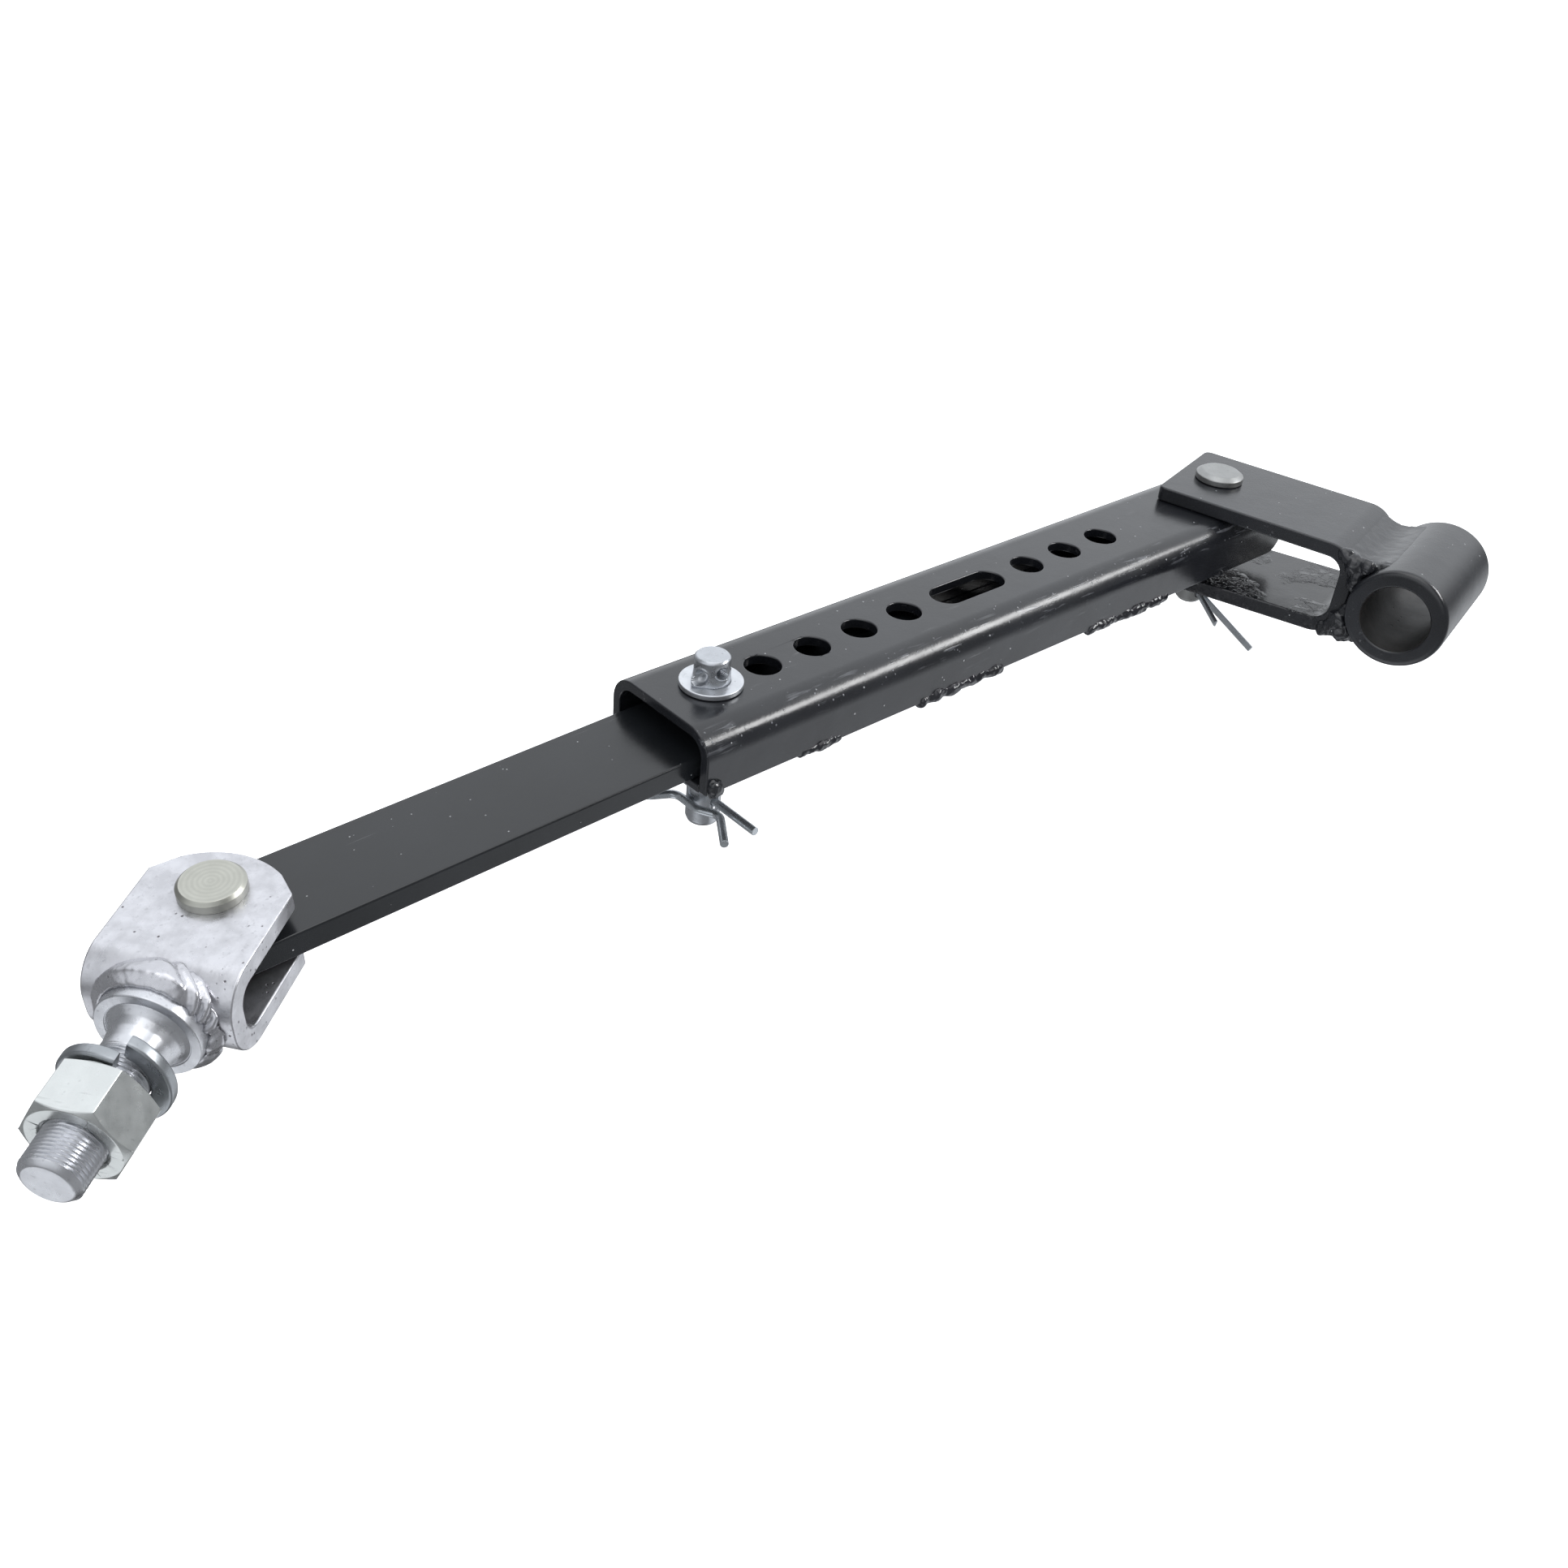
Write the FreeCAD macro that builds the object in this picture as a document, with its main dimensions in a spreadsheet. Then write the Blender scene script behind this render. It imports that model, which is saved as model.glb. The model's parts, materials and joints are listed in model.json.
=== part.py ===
"""Telescopic stabiliser link for a tractor linkage: a channel with a row of holes, a flat bar that slides
in it, a threaded yoke riveted to the bar and a forked pivot sleeve pinned to the channel.

The origin is the centre of the pivot sleeve. +X runs along the channel from the threaded end to the
sleeve end, +Z is up, out of the channel's flat top. Most lengths are worked out at the station: the axis
of the adjuster pin, level with the channel's top face."""

import FreeCAD, Part
import math
import os

import Sketcher
from FreeCAD import Placement, Rotation, Vector

SIZES = {
    # channel and its closing plate
    "channel_half_width": 33.0,
    "channel_wall": 5.0,
    "channel_depth": 29.5,
    "channel_corner": 13.0,
    "mouth_reach": 28.0,
    "channel_end": 402.0,
    "end_corner": 10.0,
    "plate_top": 26.4,
    "plate_thickness": 4.0,
    "plate_gap": 0.05,
    "hole_pitch": 30.0,
    "hole_count": 10.0,
    "hole_radius": 8.5,
    "slot_first": 5.0,
    "bead_radius": 3.2,
    # sliding bar
    "bar_half_width": 24.0,
    "bar_thickness": 10.5,
    "bar_rear": 146.0,
    "bar_drop": 14.37,
    "bar_edge": 1.0,
    "rivet_distance": 225.4,
    "bar_rivet_hole": 9.0,
    # rivet and yoke; depths are counted down from the top of the rivet's head
    "rivet_height": 18.86,
    "rivet_head_radius": 12.46,
    "rivet_head": 4.7,
    "rivet_chamfer": 1.4,
    "rivet_radius": 8.0,
    "rivet_clearance": 0.05,
    "rivet_foot": 3.5,
    "rivet_foot_edge": 1.0,
    "rivet_foot_slope": 1.5,
    "rivet_play": 0.02,
    "yoke_plate": 8.0,
    "yoke_gap": 20.0,
    "yoke_half_width": 27.5,
    "yoke_nose": 20.4,
    "yoke_nose_radius": 33.0,
    "yoke_nose_flat": 14.0,
    "yoke_shoulder": 5.5,
    "yoke_web": 37.5,
    "yoke_web_extra": 0.5,
    "yoke_inner_corner": 7.0,
    # stud, counted along its axis from the rivet
    "collar_face": 53.6,
    "collar_radius": 19.2,
    "collar_lip": 1.2,
    "collar_lip_width": 2.0,
    "collar_lip_slope": 0.6,
    "neck_root_radius": 15.0,
    "neck_end": 63.0,
    "thread_radius": 11.0,
    "thread_end": 115.3,
    "thread_chamfer": 2.2,
    "stud_bead_rear": 35.0,
    "stud_bead_front": 51.5,
    "stud_bead_radius": 24.0,
    "stud_bead_depth": 7.0,
    "stud_bead_heel": 0.6,
    "stud_bead_rise": 5.0,
    "stud_bead_drop": 1.6,
    # lock washer and nut
    "spring_outer": 19.1,
    "spring_inner": 11.5,
    "spring_thickness": 4.7,
    "spring_rise": 7.6,
    "spring_gap": 5.0,
    "spring_play": 0.3,
    "nut_back": 79.8,
    "nut_height": 20.2,
    "nut_flats": 34.0,
    "nut_clearance": 0.08,
    "nut_chamfer": 3.4,
    "nut_crown_start": 0.2,
    "nut_crown_reach": 6.0,
    # adjuster pin, washer and clip
    "pin_radius": 8.0,
    "pin_chamfer": 1.2,
    "adjuster_top": 15.3,
    "adjuster_bottom": 71.5,
    "washer_radius": 14.3,
    "washer_bore": 8.4,
    "washer_base": 0.3,
    "washer_top": 2.8,
    "ear_radius": 2.8,
    "ear_reach": 7.8,
    "ear_height": 4.6,
    "ear_play": 0.1,
    "clip_level": 58.0,
    "clip_wire": 2.0,
    "clip_hole": 2.35,
    # fork and sleeve
    "rear_pin_distance": 375.2,
    "fork_half_width": 35.2,
    "fork_plate": 8.0,
    "fork_tail": 21.9,
    "fork_lift": 0.3,
    "fork_web": 87.4,
    "fork_low_tail": 39.9,
    "fork_low_web": 35.6,
    "fork_inner_corner": 9.0,
    "fork_outer_corner": 17.0,
    "fork_nose_corner": 4.0,
    "sleeve_reach": 123.2,
    "sleeve_drop": 18.5,
    "sleeve_radius": 26.9,
    "sleeve_bore": 18.1,
    "sleeve_length": 85.2,
    "sleeve_edge": 1.6,
    "bore_chamfer": 0.8,
    "fork_bead": 8.0,
    "bead_inset": 0.5,
    "bead_start": 96.0,
    "upper_bead": 1.5,
    "lower_bead": 37.0,
    # rear pin and its split pin
    "rear_head_radius": 13.35,
    "rear_head_base": 8.6,
    "rear_head_top": 13.7,
    "rear_head_chamfer": 2.0,
    "rear_bottom": 68.0,
    "split_level": 61.5,
    "split_radius": 2.1,
    "split_hole": 2.5,
    "split_start": 1.5,
    "split_bend": 5.0,
    "eye_offset": 4.6,
    "eye_radius": 5.0,
    "eye_wire": 1.68,
}

BAR_YAW = -0.96  # the bar lies over against one side of the channel
BAR_PITCH = -2.333  # and droops towards the yoke, resting on the plate's front edge
YOKE_TURN = Rotation(-142.43, 4.80, 0.49)  # the yoke's own axes at rest
FORK_TURN = -76.73  # the fork's direction seen from above
SPRING_TURN = -24.0  # how far round from the top the lock washer's first end is
SPLIT_TURN = -104.0  # the direction of the cross hole in the rear pin
EAR_TURNS = (-152.0, -102.0, 28.0, 78.0)  # where the adjuster pin was punched

doc = FreeCAD.newDocument("stabiliser_link")
sheet = doc.addObject("Spreadsheet::Sheet", "sizes")
for row, (alias, number) in enumerate(SIZES.items(), start=1):
    sheet.set(f"A{row}", alias)
    sheet.set(f"B{row}", str(number))
    sheet.setAlias(f"B{row}", alias)
doc.recompute()


class Size:
    """A length with its value and the sheet expression that gives it."""

    def __init__(self, value, text):
        self.value = value
        self.text = text

    def __add__(self, other):
        other = as_size(other)
        return Size(self.value + other.value, f"({self.text} + {other.text})")

    def __sub__(self, other):
        other = as_size(other)
        return Size(self.value - other.value, f"({self.text} - {other.text})")

    def __mul__(self, other):
        other = as_size(other)
        return Size(self.value * other.value, f"({self.text} * {other.text})")

    def __neg__(self):
        return Size(-self.value, f"(0 - {self.text})")


def as_size(number):
    return number if isinstance(number, Size) else Size(float(number), f"({float(number)})")


def size(alias):
    return Size(float(sheet.get(alias)), f"sizes.{alias}")


ZERO = as_size(0)
nodes = {}


# ---- helpers for bodies, sketches and features ------------------------------------------------


def new_body(name):
    body = doc.addObject("PartDesign::Body", name)
    body.Label = name
    nodes[name] = body
    return body


def origin_plane(body, role):
    return next(f for f in body.Origin.OriginFeatures if f.Role == role)


def new_sketch(body, role, offset=ZERO):
    """A sketch on one of the body's own planes, moved along that plane's normal."""
    sketch = body.newObject("Sketcher::SketchObject", f"{body.Name}_sketch")
    sketch.AttachmentSupport = [(origin_plane(body, role), "")]
    sketch.MapMode = "FlatFace"
    sketch.setExpression("AttachmentOffset.Base.z", offset.text)
    return sketch


def pin_down(sketch, geometry, position, point):
    """Ties one point of the sketch to two distances from the sketch's origin."""
    for kind, length in zip(("DistanceX", "DistanceY"), point):
        index = sketch.addConstraint(Sketcher.Constraint(kind, -1, 1, geometry, position, length.value))
        sketch.setExpression(f"Constraints[{index}]", length.text)


def add_outline(sketch, points):
    """A closed outline of straight lines whose corners are all tied to the sheet."""
    points = [(as_size(across), as_size(up)) for across, up in points]
    corners = [Vector(across.value, up.value, 0) for across, up in points]
    first = sketch.GeometryCount
    count = len(corners)
    for k in range(count):
        sketch.addGeometry(Part.LineSegment(corners[k], corners[(k + 1) % count]), False)
    for k in range(count):
        following = first + (k + 1) % count
        sketch.addConstraint(Sketcher.Constraint("Coincident", first + k, 2, following, 1))
    for k, point in enumerate(points):
        pin_down(sketch, first + k, 1, point)


def add_circle(sketch, across, up, radius):
    across, up = as_size(across), as_size(up)
    circle = Part.Circle(Vector(across.value, up.value, 0), Vector(0, 0, 1), radius.value)
    geometry = sketch.addGeometry(circle, False)
    pin_down(sketch, geometry, 3, (across, up))
    index = sketch.addConstraint(Sketcher.Constraint("Radius", geometry, radius.value))
    sketch.setExpression(f"Constraints[{index}]", radius.text)


def pad(body, sketch, length, midplane=False):
    feature = body.newObject("PartDesign::Pad", f"{body.Name}_pad")
    feature.Profile = sketch
    feature.Midplane = midplane
    feature.setExpression("Length", length.text)
    return feature


def cut(body, sketch, midplane=False):
    """A pocket right through the body."""
    feature = body.newObject("PartDesign::Pocket", f"{body.Name}_pocket")
    feature.Profile = sketch
    feature.Type = "ThroughAll"
    feature.Midplane = midplane
    return feature


def revolve(body, points, axis="V_Axis"):
    """A turned piece: an outline on the XZ plane, spun about the local Z (V_Axis) or X (H_Axis)."""
    sketch = new_sketch(body, "XZ_Plane")
    add_outline(sketch, points)
    feature = body.newObject("PartDesign::Revolution", f"{body.Name}_turned")
    feature.Profile = sketch
    feature.ReferenceAxis = (sketch, [axis])
    feature.Angle = 360.0
    return feature


def round_edges(body, radius, test, kind="Fillet"):
    """Fillets or chamfers the edges whose middle point and direction pass the test."""
    doc.recompute()
    base = body.Tip
    names = []
    for k, edge in enumerate(base.Shape.Edges, start=1):
        middle = edge.valueAt((edge.FirstParameter + edge.LastParameter) / 2)
        if test(middle, edge):
            names.append(f"Edge{k}")
    feature = body.newObject(f"PartDesign::{kind}", f"{body.Name}_{kind.lower()}")
    feature.Base = (base, names)
    feature.setExpression("Radius" if kind == "Fillet" else "Size", radius.text)
    return feature


def near(value, wanted, tolerance=0.01):
    return abs(value - wanted) < tolerance


def along(edge, axis):
    """Whether a straight edge runs along the given local axis."""
    if edge.Curve.TypeId != "Part::GeomLine":
        return False
    return abs(edge.Curve.Direction.dot(axis)) > 0.999


X_AXIS, Y_AXIS, Z_AXIS = Vector(1, 0, 0), Vector(0, 1, 0), Vector(0, 0, 1)

# ---- frames --------------------------------------------------------------------------------------

fork_heading = Rotation(Z_AXIS, FORK_TURN)
rear_pin_at_station = Vector(size("rear_pin_distance").value, 0, 0)
sleeve_reach = fork_heading.multVec(Vector(size("sleeve_reach").value, 0, 0))
sleeve_drop = Vector(0, 0, -size("sleeve_drop").value)
station = -(rear_pin_at_station + sleeve_reach + sleeve_drop)

channel_frame = Placement(station, Rotation())
fork_frame = Placement(station + rear_pin_at_station, fork_heading)
sleeve_frame = Placement(Vector(0, 0, 0), Rotation(Z_AXIS, FORK_TURN + 90))
bar_turn = Rotation(BAR_YAW, BAR_PITCH, 0)
bar_frame = Placement(station + Vector(0, 0, -size("bar_drop").value), bar_turn)
rivet_top = bar_frame.multVec(Vector(-size("rivet_distance").value, 0, 0))
rivet_top = rivet_top + YOKE_TURN.multVec(Vector(0, 0, size("rivet_height").value))
yoke_frame = Placement(rivet_top, YOKE_TURN)

yoke_depth = size("yoke_plate") + size("yoke_gap") + size("yoke_plate")
yoke_middle = size("rivet_head") + yoke_depth * 0.5
stud_frame = Placement(yoke_frame.multVec(Vector(0, 0, -yoke_middle.value)), YOKE_TURN)

# ---- channel, closing plate and their stitch welds -----------------------------------------------


def drill_station_holes(body, level):
    """The adjuster holes at one pitch, the slot that joins two of them, and the rear pin's hole."""
    hole = new_sketch(body, "XY_Plane", level)
    add_circle(hole, 0, 0, size("hole_radius"))
    first = cut(body, hole)
    doc.recompute()
    pattern = body.newObject("PartDesign::LinearPattern", f"{body.Name}_holes")
    pattern.Originals = [first]
    pattern.Direction = (hole, ["H_Axis"])
    pattern.setExpression("Length", "sizes.hole_pitch * (sizes.hole_count - 1)")
    pattern.setExpression("Occurrences", "sizes.hole_count")
    body.Tip = pattern
    rear = new_sketch(body, "XY_Plane", level)
    add_circle(rear, size("rear_pin_distance"), 0, size("hole_radius"))
    cut(body, rear)


def make_outer_channel():
    body = new_body("outer_channel")
    half, wall, depth = size("channel_half_width"), size("channel_wall"), size("channel_depth")
    profile = new_sketch(body, "YZ_Plane", -size("mouth_reach"))
    inside = half - wall
    add_outline(
        profile,
        [(-half, -depth), (-half, 0), (half, 0), (half, -depth),
         (inside, -depth), (inside, -wall), (-inside, -wall), (-inside, -depth)],
    )
    end = size("channel_end")
    pad(body, profile, size("mouth_reach") + end)
    round_edges(body, size("channel_corner"),
                lambda p, e: along(e, X_AXIS) and near(p.z, 0) and near(abs(p.y), half.value))
    round_edges(body, size("channel_corner") - wall,
                lambda p, e: along(e, X_AXIS) and near(p.z, -wall.value) and near(abs(p.y), inside.value))
    round_edges(body, size("end_corner"),
                lambda p, e: along(e, Y_AXIS) and near(p.z, -depth.value) and near(p.x, end.value))
    drill_station_holes(body, ZERO)
    slot = new_sketch(body, "XY_Plane")
    first, radius = size("slot_first") * size("hole_pitch"), size("hole_radius")
    last = first + size("hole_pitch")
    add_outline(slot, [(first, -radius), (last, -radius), (last, radius), (first, radius)])
    cut(body, slot)
    body.Placement = channel_frame


def make_bottom_plate():
    """The strip that closes the channel from below; the pin passes through it at every station."""
    body = new_body("bottom_plate")
    half = size("channel_half_width") - size("channel_wall") - size("plate_gap")
    outline = new_sketch(body, "XY_Plane", -size("plate_top") - size("plate_thickness"))
    rear = size("channel_end") - size("end_corner")
    front = -size("mouth_reach")
    add_outline(outline, [(front, -half), (rear, -half), (rear, half), (front, half)])
    pad(body, outline, size("plate_thickness"))
    drill_station_holes(body, -size("plate_top"))
    body.Placement = channel_frame


BEADS = ((-26.0, 9.0), (26.0, 26.0), (102.0, 60.0), (228.0, 70.0), (343.0, 8.0))  # start and length of each


def make_channel_welds():
    """Stitch welds under the two legs, where the closing plate meets them."""
    beads = []
    for side in (-1, 1):
        for start, length in BEADS:
            bead = doc.addObject("Part::Cylinder", "bead")
            bead.setExpression("Radius", "sizes.bead_radius")
            bead.Height = length
            across = side * (SIZES["channel_half_width"] - SIZES["channel_wall"] / 2)
            bead.Placement = Placement(Vector(start, across, -SIZES["channel_depth"]), Rotation(Y_AXIS, 90))
            beads.append(bead)
    group = doc.addObject("Part::Compound", "bead_rods")
    group.Links = beads
    legs = doc.addObject("Part::Box", "leg_space")
    legs.setExpression("Length", "sizes.channel_end + 2 * sizes.mouth_reach")
    legs.setExpression("Width", "4 * sizes.channel_half_width")
    legs.setExpression("Height", "sizes.channel_depth")
    legs.Placement.Base = Vector(-2 * SIZES["mouth_reach"], -2 * SIZES["channel_half_width"],
                                 -SIZES["channel_depth"] - SIZES["plate_gap"])
    plate = doc.addObject("Part::Box", "plate_space")
    plate.setExpression("Length", "sizes.channel_end + 2 * sizes.mouth_reach")
    plate.setExpression("Width", "2 * (sizes.channel_half_width - sizes.channel_wall)")
    plate.setExpression("Height", "sizes.plate_thickness")
    inside = SIZES["channel_half_width"] - SIZES["channel_wall"]
    plate.Placement.Base = Vector(-2 * SIZES["mouth_reach"], -inside,
                                  -SIZES["plate_top"] - SIZES["plate_thickness"] - SIZES["plate_gap"])
    below_legs = doc.addObject("Part::Cut", "below_legs")
    below_legs.Base = group
    below_legs.Tool = legs
    welds = doc.addObject("Part::Cut", "channel_welds")
    welds.Base = below_legs
    welds.Tool = plate
    welds.Label = "channel_welds"
    welds.Placement = channel_frame
    nodes["channel_welds"] = welds


# ---- sliding bar ---------------------------------------------------------------------------------


def make_inner_bar():
    body = new_body("inner_bar")
    half, thick = size("bar_half_width"), size("bar_thickness")
    rivet_at, rear = -size("rivet_distance"), size("bar_rear")
    outline = new_sketch(body, "XY_Plane", -thick)
    add_outline(outline, [(rivet_at - half, -half), (rear, -half), (rear, half), (rivet_at - half, half)])
    pad(body, outline, thick)
    round_edges(body, half - size("plate_gap"), lambda p, e: along(e, Z_AXIS) and p.x < rivet_at.value)
    round_edges(body, size("bar_edge"),
                lambda p, e: near(abs(p.y), half.value) and along(e, X_AXIS))
    holes = new_sketch(body, "XY_Plane")
    add_circle(holes, 0, 0, size("hole_radius"))
    add_circle(holes, rivet_at, 0, size("bar_rivet_hole"))
    cut(body, holes)
    body.Placement = bar_frame


# ---- yoke, rivet, stud and weld ------------------------------------------------------------------


def make_yoke():
    """A strap bent to a U round the bar's end, its two plates rounded at the nose."""
    body = new_body("yoke")
    plate, gap, head = size("yoke_plate"), size("yoke_gap"), size("rivet_head")
    web, nose = size("yoke_web"), -size("yoke_nose")
    outer = web + plate + size("yoke_web_extra")
    profile = new_sketch(body, "XZ_Plane")
    add_outline(
        profile,
        [(nose, -head), (outer, -head), (outer, -head - yoke_depth), (nose, -head - yoke_depth),
         (nose, -head - plate - gap), (web, -head - plate - gap), (web, -head - plate), (nose, -head - plate)],
    )
    pad(body, profile, size("yoke_half_width") * 2, midplane=True)
    levels = ((-head).value, (-head - yoke_depth).value)
    round_edges(body, size("yoke_inner_corner") + plate,
                lambda p, e: along(e, Y_AXIS) and near(p.x, outer.value) and min(abs(p.z - v) for v in levels) < 0.01)
    round_edges(body, size("yoke_inner_corner"), lambda p, e: along(e, Y_AXIS) and near(p.x, web.value))
    trim = new_sketch(body, "XY_Plane")
    add_nose_trim(trim)
    cut(body, trim, midplane=True)
    bores = new_sketch(body, "XY_Plane")
    add_circle(bores, 0, 0, size("rivet_radius") + size("rivet_clearance"))
    cut(body, bores, midplane=True)
    body.Placement = yoke_frame


def add_nose_trim(sketch):
    """The waste round the yoke's nose: outside an arc through the nose that runs out into the two shoulders."""
    nose, radius = SIZES["yoke_nose"], SIZES["yoke_nose_radius"]
    shoulder, half = SIZES["yoke_shoulder"], SIZES["yoke_half_width"]
    flat = SIZES["yoke_nose_flat"]
    spare = 10.0
    centre = radius - nose
    corner_up = math.sqrt(radius**2 - (centre + flat) ** 2)
    ends = (Vector(-flat, corner_up, 0), Vector(-flat, -corner_up, 0))
    arc = Part.Arc(ends[0], Vector(-nose, 0, 0), ends[1])
    loop = [ends[1], Vector(-shoulder, -half, 0), Vector(-shoulder, -half - spare, 0),
            Vector(-nose - spare, -half - spare, 0), Vector(-nose - spare, half + spare, 0),
            Vector(-shoulder, half + spare, 0), Vector(-shoulder, half, 0), ends[0]]
    sketch.addGeometry(arc, False)
    for start, end in zip(loop, loop[1:]):
        sketch.addGeometry(Part.LineSegment(start, end), False)
    for k in range(1, len(loop)):
        sketch.addConstraint(Sketcher.Constraint("Block", k))


def make_yoke_rivet():
    body = new_body("yoke_rivet")
    head, radius, shank = size("rivet_head"), size("rivet_head_radius"), size("rivet_radius")
    chamfer, foot = size("rivet_chamfer"), size("rivet_foot")
    play, edge = size("rivet_play"), radius - size("rivet_foot_edge")
    above, under = -head + play, -head - yoke_depth
    revolve(body, [(ZERO, ZERO), (radius - chamfer, ZERO), (radius, -chamfer), (radius, above),
                   (shank, above), (shank, under - play), (edge, under - play),
                   (edge - size("rivet_foot_slope"), under - foot), (ZERO, under - foot)])
    body.Placement = yoke_frame


# The neck's outline: how far past the collar's face, and how much slimmer than the neck's root.
NECK_OUTLINE = ((0.0, 0.0), (2.0, 2.2), (5.0, 3.4))


def make_stud():
    """Collar, trumpet-shaped neck and threaded end, turned in one piece and welded to the yoke's web."""
    body = new_body("stud")
    web = size("yoke_web") + size("yoke_plate") + size("yoke_web_extra") + size("plate_gap")
    face, collar, lip = size("collar_face"), size("collar_radius"), size("collar_lip")
    root, thread, end = size("neck_root_radius"), size("thread_radius"), size("thread_end")
    chamfer = size("thread_chamfer")
    rim = collar - size("collar_lip_width")
    neck = [(face + past, root - slimmer) for past, slimmer in NECK_OUTLINE]
    revolve(body, [(web, ZERO), (web, collar), (face, collar), (face, rim),
                   (face - lip, rim - size("collar_lip_slope")), (face - lip, root), *neck,
                   (size("neck_end"), thread), (end - chamfer, thread), (end, thread - chamfer), (end, ZERO)],
            axis="H_Axis")
    body.Placement = stud_frame


def make_yoke_weld():
    """The bead round the collar, lying on the web and over its two bends."""
    body = new_body("yoke_weld")
    rear, front, radius = size("stud_bead_rear"), size("stud_bead_front"), size("stud_bead_radius")
    gap = size("plate_gap")
    collar = size("collar_radius") + gap
    web = size("yoke_web") + size("yoke_plate") + size("yoke_web_extra") + gap * 0.5
    depth = collar - size("stud_bead_depth")
    revolve(body, [(rear, depth), (rear, collar - size("stud_bead_heel")),
                   (rear + size("stud_bead_rise"), radius - size("stud_bead_drop")), (web, radius),
                   (front, collar), (web, collar), (web, depth)], axis="H_Axis")
    waste = new_sketch(body, "XZ_Plane")
    half = yoke_depth * 0.5 + gap
    bend = (size("yoke_inner_corner") + size("yoke_plate") + gap).value
    low, high = Vector(0, -half.value, 0), Vector(0, half.value, 0)
    wall = web.value
    turn = bend * (1 - math.sqrt(0.5))
    corners = [(Vector(wall - bend, half.value, 0), Vector(wall - turn, half.value - turn, 0),
                Vector(wall, half.value - bend, 0)),
               (Vector(wall, bend - half.value, 0), Vector(wall - turn, turn - half.value, 0),
                Vector(wall - bend, -half.value, 0))]
    for start, middle, end in corners:
        waste.addGeometry(Part.Arc(start, middle, end), False)
    for start, end in ((low, high), (high, corners[0][0]), (corners[0][2], corners[1][0]), (corners[1][2], low)):
        waste.addGeometry(Part.LineSegment(start, end), False)
    for k in range(waste.GeometryCount):
        waste.addConstraint(Sketcher.Constraint("Block", k))
    cut(body, waste, midplane=True)
    body.Placement = stud_frame


def make_lock_washer():
    """A sprung split ring: one left-handed turn of rectangular wire, its ends apart along the stud."""
    body = new_body("lock_washer")
    inner, outer, thick = size("spring_inner"), size("spring_outer"), size("spring_thickness")
    back = size("nut_back") - size("spring_play") - thick - size("spring_rise")
    section = new_sketch(body, "XZ_Plane")
    add_outline(section, [(back, inner), (back, outer), (back + thick, outer), (back + thick, inner)])
    coil = body.newObject("PartDesign::AdditiveHelix", "lock_washer_coil")
    coil.Profile = section
    coil.ReferenceAxis = (section, ["H_Axis"])
    coil.Mode = "height-turns-angle"
    coil.setExpression("Height", "sizes.spring_rise")
    coil.setExpression("Turns", "1 - sizes.spring_gap / 360")
    coil.LeftHanded = True
    body.Placement = stud_frame.multiply(Placement(Vector(), Rotation(X_AXIS, SPRING_TURN)))


def make_hex_nut():
    body = new_body("hex_nut")
    flats, height, back = size("nut_flats"), size("nut_height"), size("nut_back")
    hexagon = new_sketch(body, "YZ_Plane", back)
    across = flats * (1 / math.sqrt(3))
    half = flats * 0.5
    add_outline(hexagon, [(across, ZERO), (across * 0.5, half), (-across * 0.5, half), (-across, ZERO),
                          (-across * 0.5, -half), (across * 0.5, -half)])
    pad(body, hexagon, height)
    crown = new_sketch(body, "XZ_Plane")
    face = half - size("nut_crown_start")
    beyond = face + size("nut_crown_reach")
    for level, chamfer in ((back, size("nut_chamfer")), (back + height, -size("nut_chamfer"))):
        add_outline(crown, [(level, face), (level, beyond), (level + chamfer, beyond)])
    groove = body.newObject("PartDesign::Groove", "hex_nut_crown")
    groove.Profile = crown
    groove.ReferenceAxis = (crown, ["H_Axis"])
    groove.Angle = 360.0
    bore = new_sketch(body, "YZ_Plane")
    add_circle(bore, 0, 0, size("thread_radius") + size("nut_clearance"))
    cut(body, bore, midplane=True)
    body.Placement = stud_frame


# ---- adjuster pin, washer and clip ---------------------------------------------------------------


def make_adjuster_pin():
    """A plain pin, punched from two sides just above its washer so that the raised ears stop it dropping."""
    body = new_body("adjuster_pin")
    radius, chamfer = size("pin_radius"), size("pin_chamfer")
    top, bottom = size("adjuster_top"), -size("adjuster_bottom")
    revolve(body, [(ZERO, top), (radius - chamfer, top), (radius, top - chamfer), (radius, bottom + chamfer * 2),
                   (radius - chamfer, bottom), (ZERO, bottom)])
    ears = new_sketch(body, "XY_Plane", size("washer_top") + size("ear_play"))
    reach = size("ear_reach")
    for turn in EAR_TURNS:
        angle = math.radians(turn)
        add_circle(ears, reach * math.cos(angle), reach * math.sin(angle), size("ear_radius"))
    pad(body, ears, size("ear_height"))
    hole = new_sketch(body, "XZ_Plane")
    add_circle(hole, 0, -size("clip_level"), size("clip_hole"))
    cut(body, hole, midplane=True)
    body.Placement = channel_frame


def make_adjuster_washer():
    body = new_body("adjuster_washer")
    ring = new_sketch(body, "XY_Plane", size("washer_base"))
    add_circle(ring, 0, 0, size("washer_radius"))
    add_circle(ring, 0, 0, size("washer_bore"))
    pad(body, ring, size("washer_top") - size("washer_base"))
    body.Placement = channel_frame


# The clip's centre line in its own plane: straight leg, ring, then the leg that waves round the pin,
# as corner points with the radius of the bend at each.
CLIP_ROUTE = (
    (0.0, -36.0, 0), (0.0, 36.0, 12.0), (-24.0, 36.0, 11.9), (-24.0, 14.0, 7.0), (-10.4, 7.0, 6.0),
    (-10.4, -8.0, 6.0), (-5.0, -17.5, 5.0), (-17.0, -35.0, 0),
)


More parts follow.
